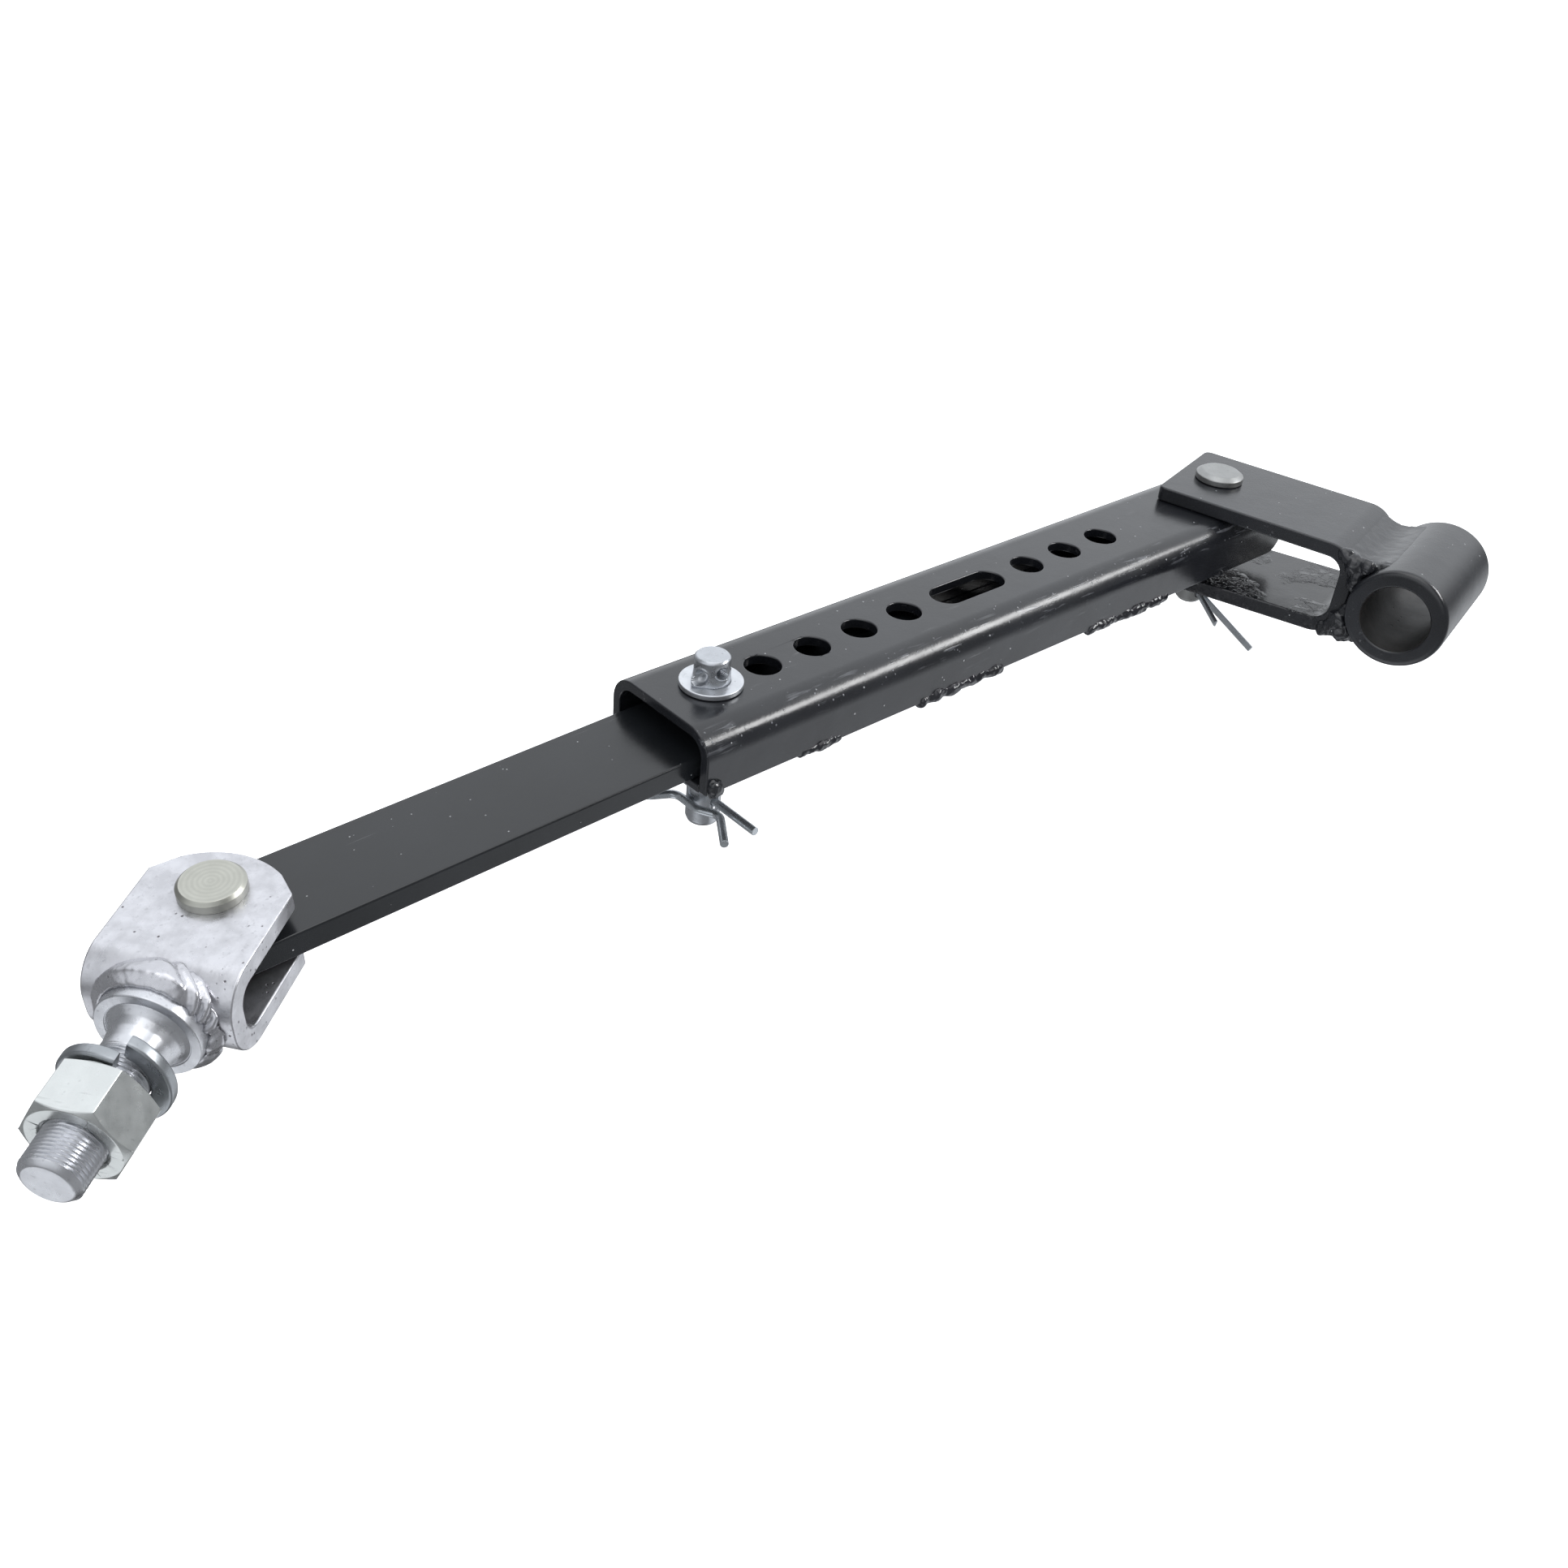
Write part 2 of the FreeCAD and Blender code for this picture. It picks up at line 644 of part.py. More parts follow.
def bent_edges(route):
    """Straight runs joined by tangent arcs."""
    points = [Vector(x, y, 0) for x, y, _ in route]
    edges = []
    last = points[0]
    for before, corner, after, (_, _, radius) in zip(points, points[1:], points[2:], route[1:]):
        back = (before - corner).normalize()
        ahead = (after - corner).normalize()
        half_angle = back.getAngle(ahead) / 2
        reach = radius / math.tan(half_angle)
        bisector = (back + ahead).normalize()
        start, end = corner + back * reach, corner + ahead * reach
        middle = corner + bisector * (radius / math.sin(half_angle) - radius)
        edges += [Part.LineSegment(last, start), Part.Arc(start, middle, end)]
        last = end
    return edges + [Part.LineSegment(last, points[-1])]


def make_adjuster_clip():
    body = new_body("adjuster_clip")
    spine = new_sketch(body, "XY_Plane", -size("clip_level"))
    for geometry in bent_edges(CLIP_ROUTE):
        k = spine.addGeometry(geometry, False)
        spine.addConstraint(Sketcher.Constraint("Block", k))
    wire = new_sketch(body, "XZ_Plane", as_size(-CLIP_ROUTE[0][1]))
    add_circle(wire, 0, -size("clip_level"), size("clip_wire"))
    pipe = body.newObject("PartDesign::AdditivePipe", "adjuster_clip_wire")
    pipe.Profile = wire
    pipe.Spine = (spine, [f"Edge{k + 1}" for k in range(spine.GeometryCount)])
    body.Placement = channel_frame


# ---- fork, sleeve and welds ----------------------------------------------------------------------


def make_fork():
    """A strap bent to a U that straddles the channel's rear end; its lower arm rises a little to the web."""
    body = new_body("fork")
    plate, lift, web, tail = size("fork_plate"), size("fork_lift"), size("fork_web"), -size("fork_tail")
    low_tail, low_web = -size("fork_low_tail"), -size("fork_low_web")
    profile = new_sketch(body, "XZ_Plane")
    add_outline(
        profile,
        [(tail, lift + plate), (web + plate, lift + plate), (web + plate, low_web - plate), (tail, low_tail - plate),
         (tail, low_tail), (web, low_web), (web, lift), (tail, lift)],
    )
    pad(body, profile, size("fork_half_width") * 2, midplane=True)
    round_edges(body, size("fork_outer_corner"),
                lambda p, e: along(e, Y_AXIS) and near(p.x, (web + plate).value))
    round_edges(body, size("fork_inner_corner"), lambda p, e: along(e, Y_AXIS) and near(p.x, web.value))
    round_edges(body, size("fork_nose_corner"),
                lambda p, e: near(p.x, tail.value) and near(abs(p.y), size("fork_half_width").value)
                and along(e, Z_AXIS))
    bores = new_sketch(body, "XY_Plane")
    add_circle(bores, 0, 0, size("hole_radius"))
    cut(body, bores, midplane=True)
    body.Placement = fork_frame


def make_pivot_sleeve():
    body = new_body("pivot_sleeve")
    half = size("sleeve_length") * 0.5
    outer, bore = size("sleeve_radius"), size("sleeve_bore")
    edge, chamfer = size("sleeve_edge"), size("bore_chamfer")
    revolve(body, [(-half, bore + chamfer), (-half, outer - edge), (-half + edge, outer), (half - edge, outer),
                   (half, outer - edge), (half, bore + chamfer), (half - chamfer, bore), (-half + chamfer, bore)],
            axis="H_Axis")
    body.Placement = sleeve_frame


def make_fork_weld(name, drop):
    """A bead along the crevice between the fork's web and the sleeve, that far below the channel's top face."""
    rod = doc.addObject("Part::Cylinder", f"{name}_rod")
    rod.setExpression("Radius", "sizes.fork_bead")
    rod.setExpression("Height", "2 * (sizes.fork_half_width - sizes.bead_inset)")
    corner = Vector(SIZES["bead_start"], SIZES["fork_half_width"] - SIZES["bead_inset"], -drop)
    middle = Placement(corner, Rotation(X_AXIS, 90))
    rod.Placement = fork_frame.multiply(middle)
    clear_of_sleeve = doc.addObject("Part::Cut", f"{name}_trimmed")
    clear_of_sleeve.Base = rod
    clear_of_sleeve.Tool = nodes["pivot_sleeve"]
    bead = doc.addObject("Part::Cut", name)
    bead.Base = clear_of_sleeve
    bead.Tool = nodes["fork"]
    bead.Label = name
    nodes[name] = bead


# ---- rear pin and split pin ----------------------------------------------------------------------


def make_rear_pin():
    body = new_body("rear_pin")
    head, base, top = size("rear_head_radius"), size("rear_head_base"), size("rear_head_top")
    radius, bottom, chamfer = size("pin_radius"), -size("rear_bottom"), size("rear_head_chamfer")
    revolve(body, [(ZERO, top), (head - chamfer * 1.5, top), (head, top - chamfer), (head, base), (radius, base),
                   (radius, bottom + chamfer), (radius - chamfer, bottom), (ZERO, bottom)])
    body.Placement = Placement(fork_frame.Base, Rotation(Z_AXIS, SPLIT_TURN))
    hole = new_sketch(body, "YZ_Plane")
    add_circle(hole, 0, -size("split_level"), size("split_hole"))
    cut(body, hole, midplane=True)


def half_round_leg(points, radius, flat_side):
    """A half-round wire swept along straight runs with one small bend; flat_side points at the flat."""
    start, corner, end = points
    bend_radius = SIZES["split_bend"]
    back = (start - corner).normalize()
    ahead = (end - corner).normalize()
    half_angle = back.getAngle(ahead) / 2
    reach = bend_radius / math.tan(half_angle)
    middle = corner + (back + ahead).normalize() * (bend_radius / math.sin(half_angle) - bend_radius)
    bend_start, bend_end = corner + back * reach, corner + ahead * reach
    spine = Part.Wire([Part.LineSegment(start, bend_start).toShape(),
                       Part.Arc(bend_start, middle, bend_end).toShape(),
                       Part.LineSegment(bend_end, end).toShape()])
    side = flat_side.cross(back).normalize()
    tips = (start + side * radius, start - side * radius)
    dome = Part.Arc(tips[0], start - flat_side * radius, tips[1]).toShape()
    chord = Part.LineSegment(tips[1], tips[0]).toShape()
    return spine.makePipeShell([Part.Wire([dome, chord])], True, False)


# Where each bent leg ends, from the point where it leaves the pin.
SPLIT_TIPS = ((39.0, 9.7, -17.5), (24.0, -6.5, -5.5))


def make_rear_split_pin():
    """Two half-round legs through the pin, bent apart past it, and the eye that joins them behind it."""
    radius, level = SIZES["split_radius"], -SIZES["split_level"]
    reach = SIZES["pin_radius"] + SIZES["split_start"]
    gap = SIZES["plate_gap"]
    legs = []
    for side, tip in zip((1, -1), SPLIT_TIPS):
        end = Vector(reach, 0, level) + Vector(*tip)
        flat = Vector(0, -side, 0)
        shift = Vector(0, side * gap, 0)
        start = Vector(-reach, 0, level) + shift
        corner = Vector(reach, 0, level) + shift
        legs.append(half_round_leg((start, corner, end), radius, flat))
    eye_centre = Vector(-reach - SIZES["eye_offset"], 0, level)
    eye = Part.makeTorus(SIZES["eye_radius"], SIZES["eye_wire"], eye_centre, Z_AXIS)
    solid = legs[0].fuse([legs[1], eye])
    piece = doc.addObject("Part::Feature", "rear_split_pin")
    piece.Label = "rear_split_pin"
    piece.Shape = solid
    piece.Placement = Placement(fork_frame.Base, Rotation(Z_AXIS, SPLIT_TURN))
    nodes["rear_split_pin"] = piece


# ---- build, check and write ----------------------------------------------------------------------


def check_and_write():
    doc.recompute()
    failed = [o.Name for o in doc.Objects if "Invalid" in o.State or "Error" in o.State]
    if failed:
        raise RuntimeError(f"objects that did not recompute: {failed}")
    for name, node in nodes.items():
        if node.Shape.isNull() or not node.Shape.isValid():
            raise RuntimeError(f"{name} has no valid shape")
    os.makedirs("parts", exist_ok=True)
    for name, node in nodes.items():
        node.Shape.exportStep(os.path.join("parts", f"{name}.step"))
        print(f"{name}: {len(node.Shape.Solids)} solid(s), {node.Shape.Volume / 1000:.2f} cm3")


make_outer_channel()
make_bottom_plate()
make_channel_welds()
make_inner_bar()
make_yoke()
make_yoke_rivet()
make_stud()
make_yoke_weld()
make_lock_washer()
make_hex_nut()
make_adjuster_pin()
make_adjuster_washer()
make_adjuster_clip()
make_fork()
make_pivot_sleeve()
make_fork_weld("fork_weld_upper", SIZES["upper_bead"])
make_fork_weld("fork_weld_lower", SIZES["lower_bead"])
make_rear_pin()
make_rear_split_pin()
check_and_write()
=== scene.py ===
"""Looks for the telescopic stabiliser link: finished pieces, materials, light and camera."""

import json
import math

import bmesh
import bpy
from mathutils import Matrix, Vector, noise

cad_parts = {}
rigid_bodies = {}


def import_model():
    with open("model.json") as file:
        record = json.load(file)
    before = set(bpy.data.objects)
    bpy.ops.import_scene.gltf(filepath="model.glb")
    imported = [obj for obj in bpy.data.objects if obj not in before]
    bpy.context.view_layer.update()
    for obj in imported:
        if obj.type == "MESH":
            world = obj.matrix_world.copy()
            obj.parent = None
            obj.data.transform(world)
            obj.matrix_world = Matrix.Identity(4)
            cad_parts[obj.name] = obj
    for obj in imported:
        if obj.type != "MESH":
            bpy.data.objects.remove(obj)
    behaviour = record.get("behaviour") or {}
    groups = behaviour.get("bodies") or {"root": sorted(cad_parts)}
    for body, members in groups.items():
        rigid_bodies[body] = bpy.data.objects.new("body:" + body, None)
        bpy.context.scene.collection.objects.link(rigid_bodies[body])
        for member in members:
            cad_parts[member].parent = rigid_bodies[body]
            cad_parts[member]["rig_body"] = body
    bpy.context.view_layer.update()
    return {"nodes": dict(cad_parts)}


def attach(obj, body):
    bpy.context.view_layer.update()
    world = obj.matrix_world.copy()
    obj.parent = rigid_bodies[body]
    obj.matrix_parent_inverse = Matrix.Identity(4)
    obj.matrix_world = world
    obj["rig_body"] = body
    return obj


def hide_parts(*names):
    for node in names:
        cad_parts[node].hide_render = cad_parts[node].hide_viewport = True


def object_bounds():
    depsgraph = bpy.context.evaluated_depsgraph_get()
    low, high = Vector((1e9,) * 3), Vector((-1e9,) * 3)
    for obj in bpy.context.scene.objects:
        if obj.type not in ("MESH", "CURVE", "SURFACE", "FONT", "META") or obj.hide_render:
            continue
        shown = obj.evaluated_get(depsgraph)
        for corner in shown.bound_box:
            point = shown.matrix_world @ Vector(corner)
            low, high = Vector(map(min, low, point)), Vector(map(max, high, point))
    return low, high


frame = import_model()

MM = 0.001
TAU = 2 * math.pi
NEAR_AXIS = 0.01  # the radius at which a turned outline stops short of its axis, in millimetres
scene = bpy.context.scene

# ---- frames, as in the part's source --------------------------------------------------------


def axes(origin, x_axis, z_axis):
    """A placement in metres from an origin in millimetres, its X axis and roughly its Z axis."""
    x = Vector(x_axis).normalized()
    y = Vector(z_axis).cross(x).normalized()
    z = x.cross(y)
    turn = Matrix((x, y, z)).transposed().to_4x4()
    return Matrix.Translation(Vector(origin) * MM) @ turn


STATION = Vector((-403.479, 119.910, 18.5))
CHANNEL = axes(STATION, (1, 0, 0), (0, 0, 1))
YOKE = axes((-630.010, 122.849, 13.748), (-0.78983, -0.60759, -0.08368), (-0.07154, -0.04424, 0.99646))
STUD_DROP, BAR_DROP, REAR_PIN_ALONG = 22.7, 14.37, 375.2
STUD = YOKE @ Matrix.Translation((0, 0, -STUD_DROP * MM))
BAR = axes(STATION + Vector((0, 0, -BAR_DROP)), (0.99903, -0.01672, 0.04071), (0, 0, 1))
FORK = axes(STATION + Vector((REAR_PIN_ALONG, 0, 0)), (0.22945, -0.97332, 0), (0, 0, 1))
SLEEVE = axes((0, 0, 0), (0.97332, 0.22945, 0), (0, 0, 1))
TO_STUD, TO_FORK = STUD.inverted(), FORK.inverted()

# ---- mesh helpers ---------------------------------------------------------------------------


def soften(points, radius, steps=3, closed=False):
    """Rounds an outline's corners with small arcs, by one radius or by one for each corner.
    An open outline keeps its two ends."""
    points = [Vector(p) for p in points]
    count = len(points)
    radii = radius if isinstance(radius, tuple) else (radius,) * count
    inner = range(count) if closed else range(1, count - 1)
    result = [] if closed else [points[0]]
    for k in inner:
        before, corner, after = points[k - 1], points[k], points[(k + 1) % count]
        back, ahead = (before - corner), (after - corner)
        reach = min(radii[k], back.length * 0.45, ahead.length * 0.45)
        start, end = corner + back.normalized() * reach, corner + ahead.normalized() * reach
        for step in range(steps + 1):
            t = step / steps
            result.append(start * (1 - t) ** 2 + corner * 2 * t * (1 - t) + end * t**2)
    if not closed:
        result.append(points[-1])
    return result


def shade(mesh, angle):
    mesh.shade_smooth()
    mesh.set_sharp_from_angle(angle=math.radians(angle))


def skin(name, rings, looped=False):
    """A closed skin through rings of points, capped at both ends or, when looped, joined last to first."""
    bm = bmesh.new()
    rows = [[bm.verts.new(p) for p in ring] for ring in rings]
    count = len(rows[0])
    pairs = list(zip(rows, rows[1:]))
    if looped:
        pairs.append((rows[-1], rows[0]))
    for first, second in pairs:
        for k in range(count):
            bm.faces.new((first[k], first[(k + 1) % count], second[(k + 1) % count], second[k]))
    if not looped:
        bm.faces.new(list(reversed(rows[0])))
        bm.faces.new(rows[-1])
    bmesh.ops.recalc_face_normals(bm, faces=bm.faces)
    mesh = bpy.data.meshes.new(name)
    bm.to_mesh(mesh)
    bm.free()
    shade(mesh, 35)
    return bake(mesh, ("WEIGHTED_NORMAL", {"keep_sharp": True, "weight": 70}))


def turned(name, outline, place, sides=96, looped=False, shape=None, axis="Z"):
    """Spins (along, radius) points in millimetres round the local Z or X axis of a placement.
    shape(along, radius, angle) may return a changed radius."""
    rings = []
    for along, radius in outline:
        ring = []
        for k in range(sides):
            angle = TAU * k / sides
            r = shape(along, radius, angle) if shape else radius
            across, up = r * math.cos(angle), r * math.sin(angle)
            point = (across, up, along) if axis == "Z" else (along, across, up)
            ring.append(place @ (Vector(point) * MM))
        rings.append(ring)
    return skin(name, rings, looped)


def bake(mesh, *modifiers):
    """The mesh after a chain of (kind, settings) modifiers."""
    holder = bpy.data.objects.new("holder", mesh)
    scene.collection.objects.link(holder)
    for kind, settings in modifiers:
        modifier = holder.modifiers.new(kind.lower(), kind)
        for key, value in settings.items():
            setattr(modifier, key, value)
    bpy.context.view_layer.update()
    result = bpy.data.meshes.new_from_object(holder.evaluated_get(bpy.context.evaluated_depsgraph_get()))
    result.name = mesh.name
    bpy.data.objects.remove(holder)
    bpy.data.meshes.remove(mesh)
    return result


def carve(mesh, tool_mesh, operation="DIFFERENCE"):
    tool = bpy.data.objects.new("tool", tool_mesh)
    scene.collection.objects.link(tool)
    result = bake(mesh, ("BOOLEAN", {"object": tool, "operation": operation, "solver": "EXACT"}))
    bpy.data.objects.remove(tool)
    bpy.data.meshes.remove(tool_mesh)
    return result


def cad_mesh(node):
    """A cleaned copy of a CAD node's mesh, with its flat faces joined up again."""
    mesh = frame["nodes"][node].data.copy()
    mesh.name = node
    bm = bmesh.new()
    bm.from_mesh(mesh)
    bmesh.ops.remove_doubles(bm, verts=bm.verts, dist=2e-6)
    bmesh.ops.dissolve_limit(bm, angle_limit=math.radians(0.5), verts=bm.verts, edges=bm.edges)
    bm.to_mesh(mesh)
    bm.free()
    return mesh


def eased(mesh, width, segments=3, angle=28):
    """Rounds every sharp edge by that width in millimetres."""
    mesh.shade_smooth()
    bevel = {"width": width * MM, "segments": segments, "limit_method": "ANGLE",
             "angle_limit": math.radians(angle), "use_clamp_overlap": False, "loop_slide": True}
    weighted = {"keep_sharp": False, "weight": 80}
    return bake(mesh, ("BEVEL", bevel), ("WEIGHTED_NORMAL", weighted))


def add_piece(name, mesh, node, material):
    """The finished piece that stands for a CAD node and moves with that node's body."""
    piece = bpy.data.objects.new(name, mesh)
    scene.collection.objects.link(piece)
    mesh.materials.clear()
    mesh.materials.append(material)
    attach(piece, frame["nodes"][node]["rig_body"])
    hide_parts(node)
    return piece


def fractal(point, scale, octaves, seed):
    """Smooth noise about zero; scale is the size of one lump in millimetres."""
    p = point / (scale * MM) + Vector((seed, seed * 1.7, seed * 0.3))
    total, weight = 0.0, 1.0
    for _ in range(octaves):
        total += weight * noise.noise(p)
        p = p * 2.1
        weight *= 0.5
    return total


# ---- material helpers -----------------------------------------------------------------------

IDENTITY = Matrix.Identity(4)


class Finish:
    """A node material under construction."""

    def __init__(self, name, place=IDENTITY):
        self.material = bpy.data.materials.new(name)
        self.material.use_nodes = True
        self.tree = self.material.node_tree
        self.tree.nodes.clear()
        output = self.tree.nodes.new("ShaderNodeOutputMaterial")
        self.shader = self.tree.nodes.new("ShaderNodeBsdfPrincipled")
        self.link(self.shader.outputs["BSDF"], output.inputs["Surface"])
        coords = self.tree.nodes.new("ShaderNodeTexCoord")
        mapping = self.tree.nodes.new("ShaderNodeMapping")
        mapping.vector_type = "TEXTURE"
        mapping.inputs["Location"].default_value = place.to_translation()
        mapping.inputs["Rotation"].default_value = place.to_euler()
        self.link(coords.outputs["Object"], mapping.inputs["Vector"])
        self.space = mapping.outputs["Vector"]

    def link(self, source, target):
        self.tree.links.new(source, target)

    def put(self, kind, inputs, **settings):
        node = self.tree.nodes.new(f"ShaderNode{kind}")
        for key, value in settings.items():
            setattr(node, key, value)
        for key, value in inputs.items():
            if isinstance(value, bpy.types.NodeSocket):
                self.link(value, node.inputs[key])
            else:
                node.inputs[key].default_value = value
        return node

    def stretch(self, scale):
        """The material's space squeezed along its axes, so that noise in it is drawn out the other way."""
        return self.put("Mapping", {"Vector": self.space, "Scale": scale}).outputs["Vector"]

    def noise(self, size, detail=3.0, vector=None, roughness=0.55, distortion=0.0):
        """Noise whose lumps are about size millimetres across."""
        node = self.put("TexNoise", {"Vector": vector or self.space, "Scale": 1000 / size, "Detail": detail,
                                     "Roughness": roughness, "Distortion": distortion})
        return node.outputs["Fac"]

    def cells(self, size):
        """The distance from the nearest of many scattered points that lie about size millimetres apart."""
        return self.put("TexVoronoi", {"Vector": self.space, "Scale": 1000 / size}).outputs["Distance"]

    def spread(self, value, low, high, to_low=0.0, to_high=1.0):
        """The value stretched and clamped so that low gives to_low and high gives to_high."""
        node = self.put("MapRange", {"Value": value, "From Min": low, "From Max": high,
                                     "To Min": to_low, "To Max": to_high})
        return node.outputs["Result"]

    def math(self, operation, first, second):
        return self.put("Math", {0: first, 1: second}, operation=operation).outputs["Value"]

    def blend(self, factor, first, second):
        node = self.put("Mix", {"Factor": factor, 6: first, 7: second}, data_type="RGBA")
        return node.outputs[2]

    def bump(self, height, distance, below=None):
        inputs = {"Height": height, "Distance": distance * MM, "Strength": 1.0}
        if below is not None:
            inputs["Normal"] = below
        return self.put("Bump", inputs).outputs["Normal"]

    def finish(self, color, roughness, normal, metallic=0.0, **uniform):
        self.link(color, self.shader.inputs["Base Color"])
        self.link(roughness, self.shader.inputs["Roughness"])
        self.link(normal, self.shader.inputs["Normal"])
        self.shader.inputs["Metallic"].default_value = metallic
        for key, value in uniform.items():
            self.shader.inputs[key.replace("_", " ")].default_value = value
        return self.material


def rgb(red, green, blue):
    return (red, green, blue, 1.0)


DUST, SCRATCH, RUBBED = rgb(0.38, 0.39, 0.40), rgb(0.16, 0.165, 0.175), rgb(0.34, 0.35, 0.38)
BORE_DARK, BORE_BROWN = rgb(0.007, 0.0065, 0.006), rgb(0.018, 0.0155, 0.014)
PINHOLE, PIT = rgb(0.003, 0.003, 0.003), rgb(0.10, 0.09, 0.10)
METALLIC = 0.9


def tint(base, factor):
    return rgb(*(c * factor for c in base))


def paint(name, base, rough=(0.17, 0.27), lumps=0.10, peel=0.03, specks=0.05, scratch=(1, 1, 1), wear=0.0,
          place=IDENTITY, extra=None, shine=1.62):
    """Dark sprayed paint: orange peel, dust specks, rubbed patches and fine scratches.
    extra(finish, color, gloss, normal) may add a local feature."""
    f = Finish(name, place)
    color = f.blend(f.spread(f.noise(60, 4), 0.35, 0.65), tint(base, 0.8), tint(base, 1.3))
    dusty = f.spread(f.noise(26, 2), 0.47, 0.54)
    dust = f.math("MULTIPLY", f.spread(f.cells(6.5), specks + 0.03, specks), dusty)
    color = f.blend(f.math("MULTIPLY", dust, 0.8), color, DUST)
    streak = f.noise(3.0, 2, f.stretch(scratch))
    marks = f.math("MULTIPLY", f.spread(streak, 0.66, 0.74), f.spread(f.noise(35, 2), 0.50, 0.62))
    color = f.blend(f.math("MULTIPLY", marks, 0.25 + wear), color, SCRATCH)
    gloss = f.spread(f.noise(18, 4), 0.3, 0.7, *rough)
    normal = f.bump(f.noise(1.6, 2), peel)
    normal = f.bump(f.noise(14, 3), lumps, normal)
    normal = f.bump(dust, 0.10, normal)
    if extra:
        color, gloss, normal = extra(f, color, gloss, normal)
    return f.finish(color, gloss, normal, IOR=shine)


def rubbed_edge(f, color, gloss, normal):
    """Specks and short rub marks along the channel's rounded top edges."""
    parts = f.put("SeparateXYZ", {"Vector": f.space}).outputs
    out = f.put("Math", {0: parts["Y"]}, operation="ABSOLUTE").outputs["Value"]
    edge = f.math("MULTIPLY", f.spread(out, 0.022, 0.028), f.spread(parts["Z"], -0.011, -0.005))
    grains = f.math("MULTIPLY", f.spread(f.cells(2.6), 0.22, 0.12), f.spread(f.noise(9, 4), 0.52, 0.60))
    rubs = f.math("MULTIPLY", f.spread(f.noise(2.2, 2, f.stretch((0.12, 1, 1))), 0.57, 0.66),
                  f.spread(f.noise(22, 3), 0.46, 0.56))
    marks = f.math("MULTIPLY", edge, f.math("MAXIMUM", grains, f.math("MULTIPLY", rubs, 0.5)))
    color = f.blend(f.math("MULTIPLY", marks, 0.6), color, RUBBED)
    return color, gloss, f.bump(marks, 0.08, normal)


def wrinkled_inside(f, color, gloss, normal):
    """Wrinkled paint on the inner face of the fork's lower arm."""
    parts = f.put("SeparateXYZ", {"Vector": f.space}).outputs
    below = f.spread(parts["Z"], -0.030, -0.034)
    patch = f.math("MULTIPLY", below, f.spread(f.noise(30, 2), 0.46, 0.54))
    wrinkles = f.spread(f.noise(5, 4, distortion=1.5), 0.46, 0.52)
    return color, gloss, f.bump(f.math("MULTIPLY", patch, wrinkles), 0.5, normal)


def drilled_bore(f, color, gloss, normal):
    """Dark brownish metal inside the sleeve, and pinholes inside and out."""
    parts = f.put("SeparateXYZ", {"Vector": f.space}).outputs
    flat = f.put("CombineXYZ", {"Y": parts["Y"], "Z": parts["Z"]}).outputs["Vector"]
    out = f.put("VectorMath", {0: flat}, operation="LENGTH").outputs["Value"]
    inside = f.spread(out, 0.0186, 0.0182)
    rusty = f.blend(f.spread(f.noise(7, 4), 0.4, 0.6), BORE_DARK, BORE_BROWN)
    color = f.blend(inside, color, rusty)
    holes = f.math("MULTIPLY", f.spread(f.cells(6), 0.12, 0.07), f.spread(f.noise(17, 2), 0.54, 0.60))
    color = f.blend(f.math("MULTIPLY", holes, 0.9), color, PINHOLE)
    return color, f.math("ADD", gloss, f.math("MULTIPLY", inside, 0.35)), f.bump(holes, -0.25, normal)


def plate_metal(name, base, rough, ripple, pits, grit=0.008, place=IDENTITY, scratch=(1, 1, 1),
                mottle=0.88):
    """Zinc plating: soft ripples, pits, dull patches and fine scratches."""
    f = Finish(name, place)
    patch = f.noise(9, 5, roughness=0.6)
    color = f.blend(f.spread(patch, 0.38, 0.62), tint(base, mottle), rgb(*base))
    holes = f.math("MULTIPLY", f.spread(f.cells(2.8), 0.20, 0.10), f.spread(f.noise(11, 3), 0.54, 0.58))
    color = f.blend(f.math("MULTIPLY", holes, pits), color, PIT)
    streak = f.spread(f.noise(2.0, 2, f.stretch(scratch)), 0.62, 0.72)
    color = f.blend(f.math("MULTIPLY", streak, 0.38), color, tint(base, 0.55))
    gloss = f.spread(f.noise(5, 4), 0.3, 0.7, *rough)
    normal = f.bump(f.noise(0.8, 2), grit)
    normal = f.bump(f.noise(7, 3), ripple, normal)
    normal = f.bump(f.noise(2.4, 4), 0.3 * ripple, normal)
    normal = f.bump(f.math("SUBTRACT", 1.0, holes), 0.15 * pits, normal)
    return f.finish(color, gloss, normal, METALLIC, IOR=1.5)


def turned_metal(name, base, place, rough, groove, spacing):
    """A faced surface with fine rings round the local Z axis, spacing millimetres apart."""
    f = Finish(name, place)
    wave = {"Vector": f.space, "Scale": 1000 / spacing * math.pi / 10, "Distortion": 0.4, "Detail": 1.0,
            "Detail Scale": 0.5}
    rings = f.put("TexWave", wave, wave_type="RINGS", rings_direction="Z").outputs["Fac"]
    color = f.blend(f.spread(f.noise(6, 4), 0.35, 0.65), tint(base, 0.90), rgb(*base))
    color = f.blend(f.math("MULTIPLY", rings, 0.35), color, tint(base, 0.72))
    gloss = f.spread(f.noise(4, 3), 0.3, 0.7, *rough)
    normal = f.bump(rings, groove)
    return f.finish(color, gloss, normal, METALLIC, IOR=1.5)


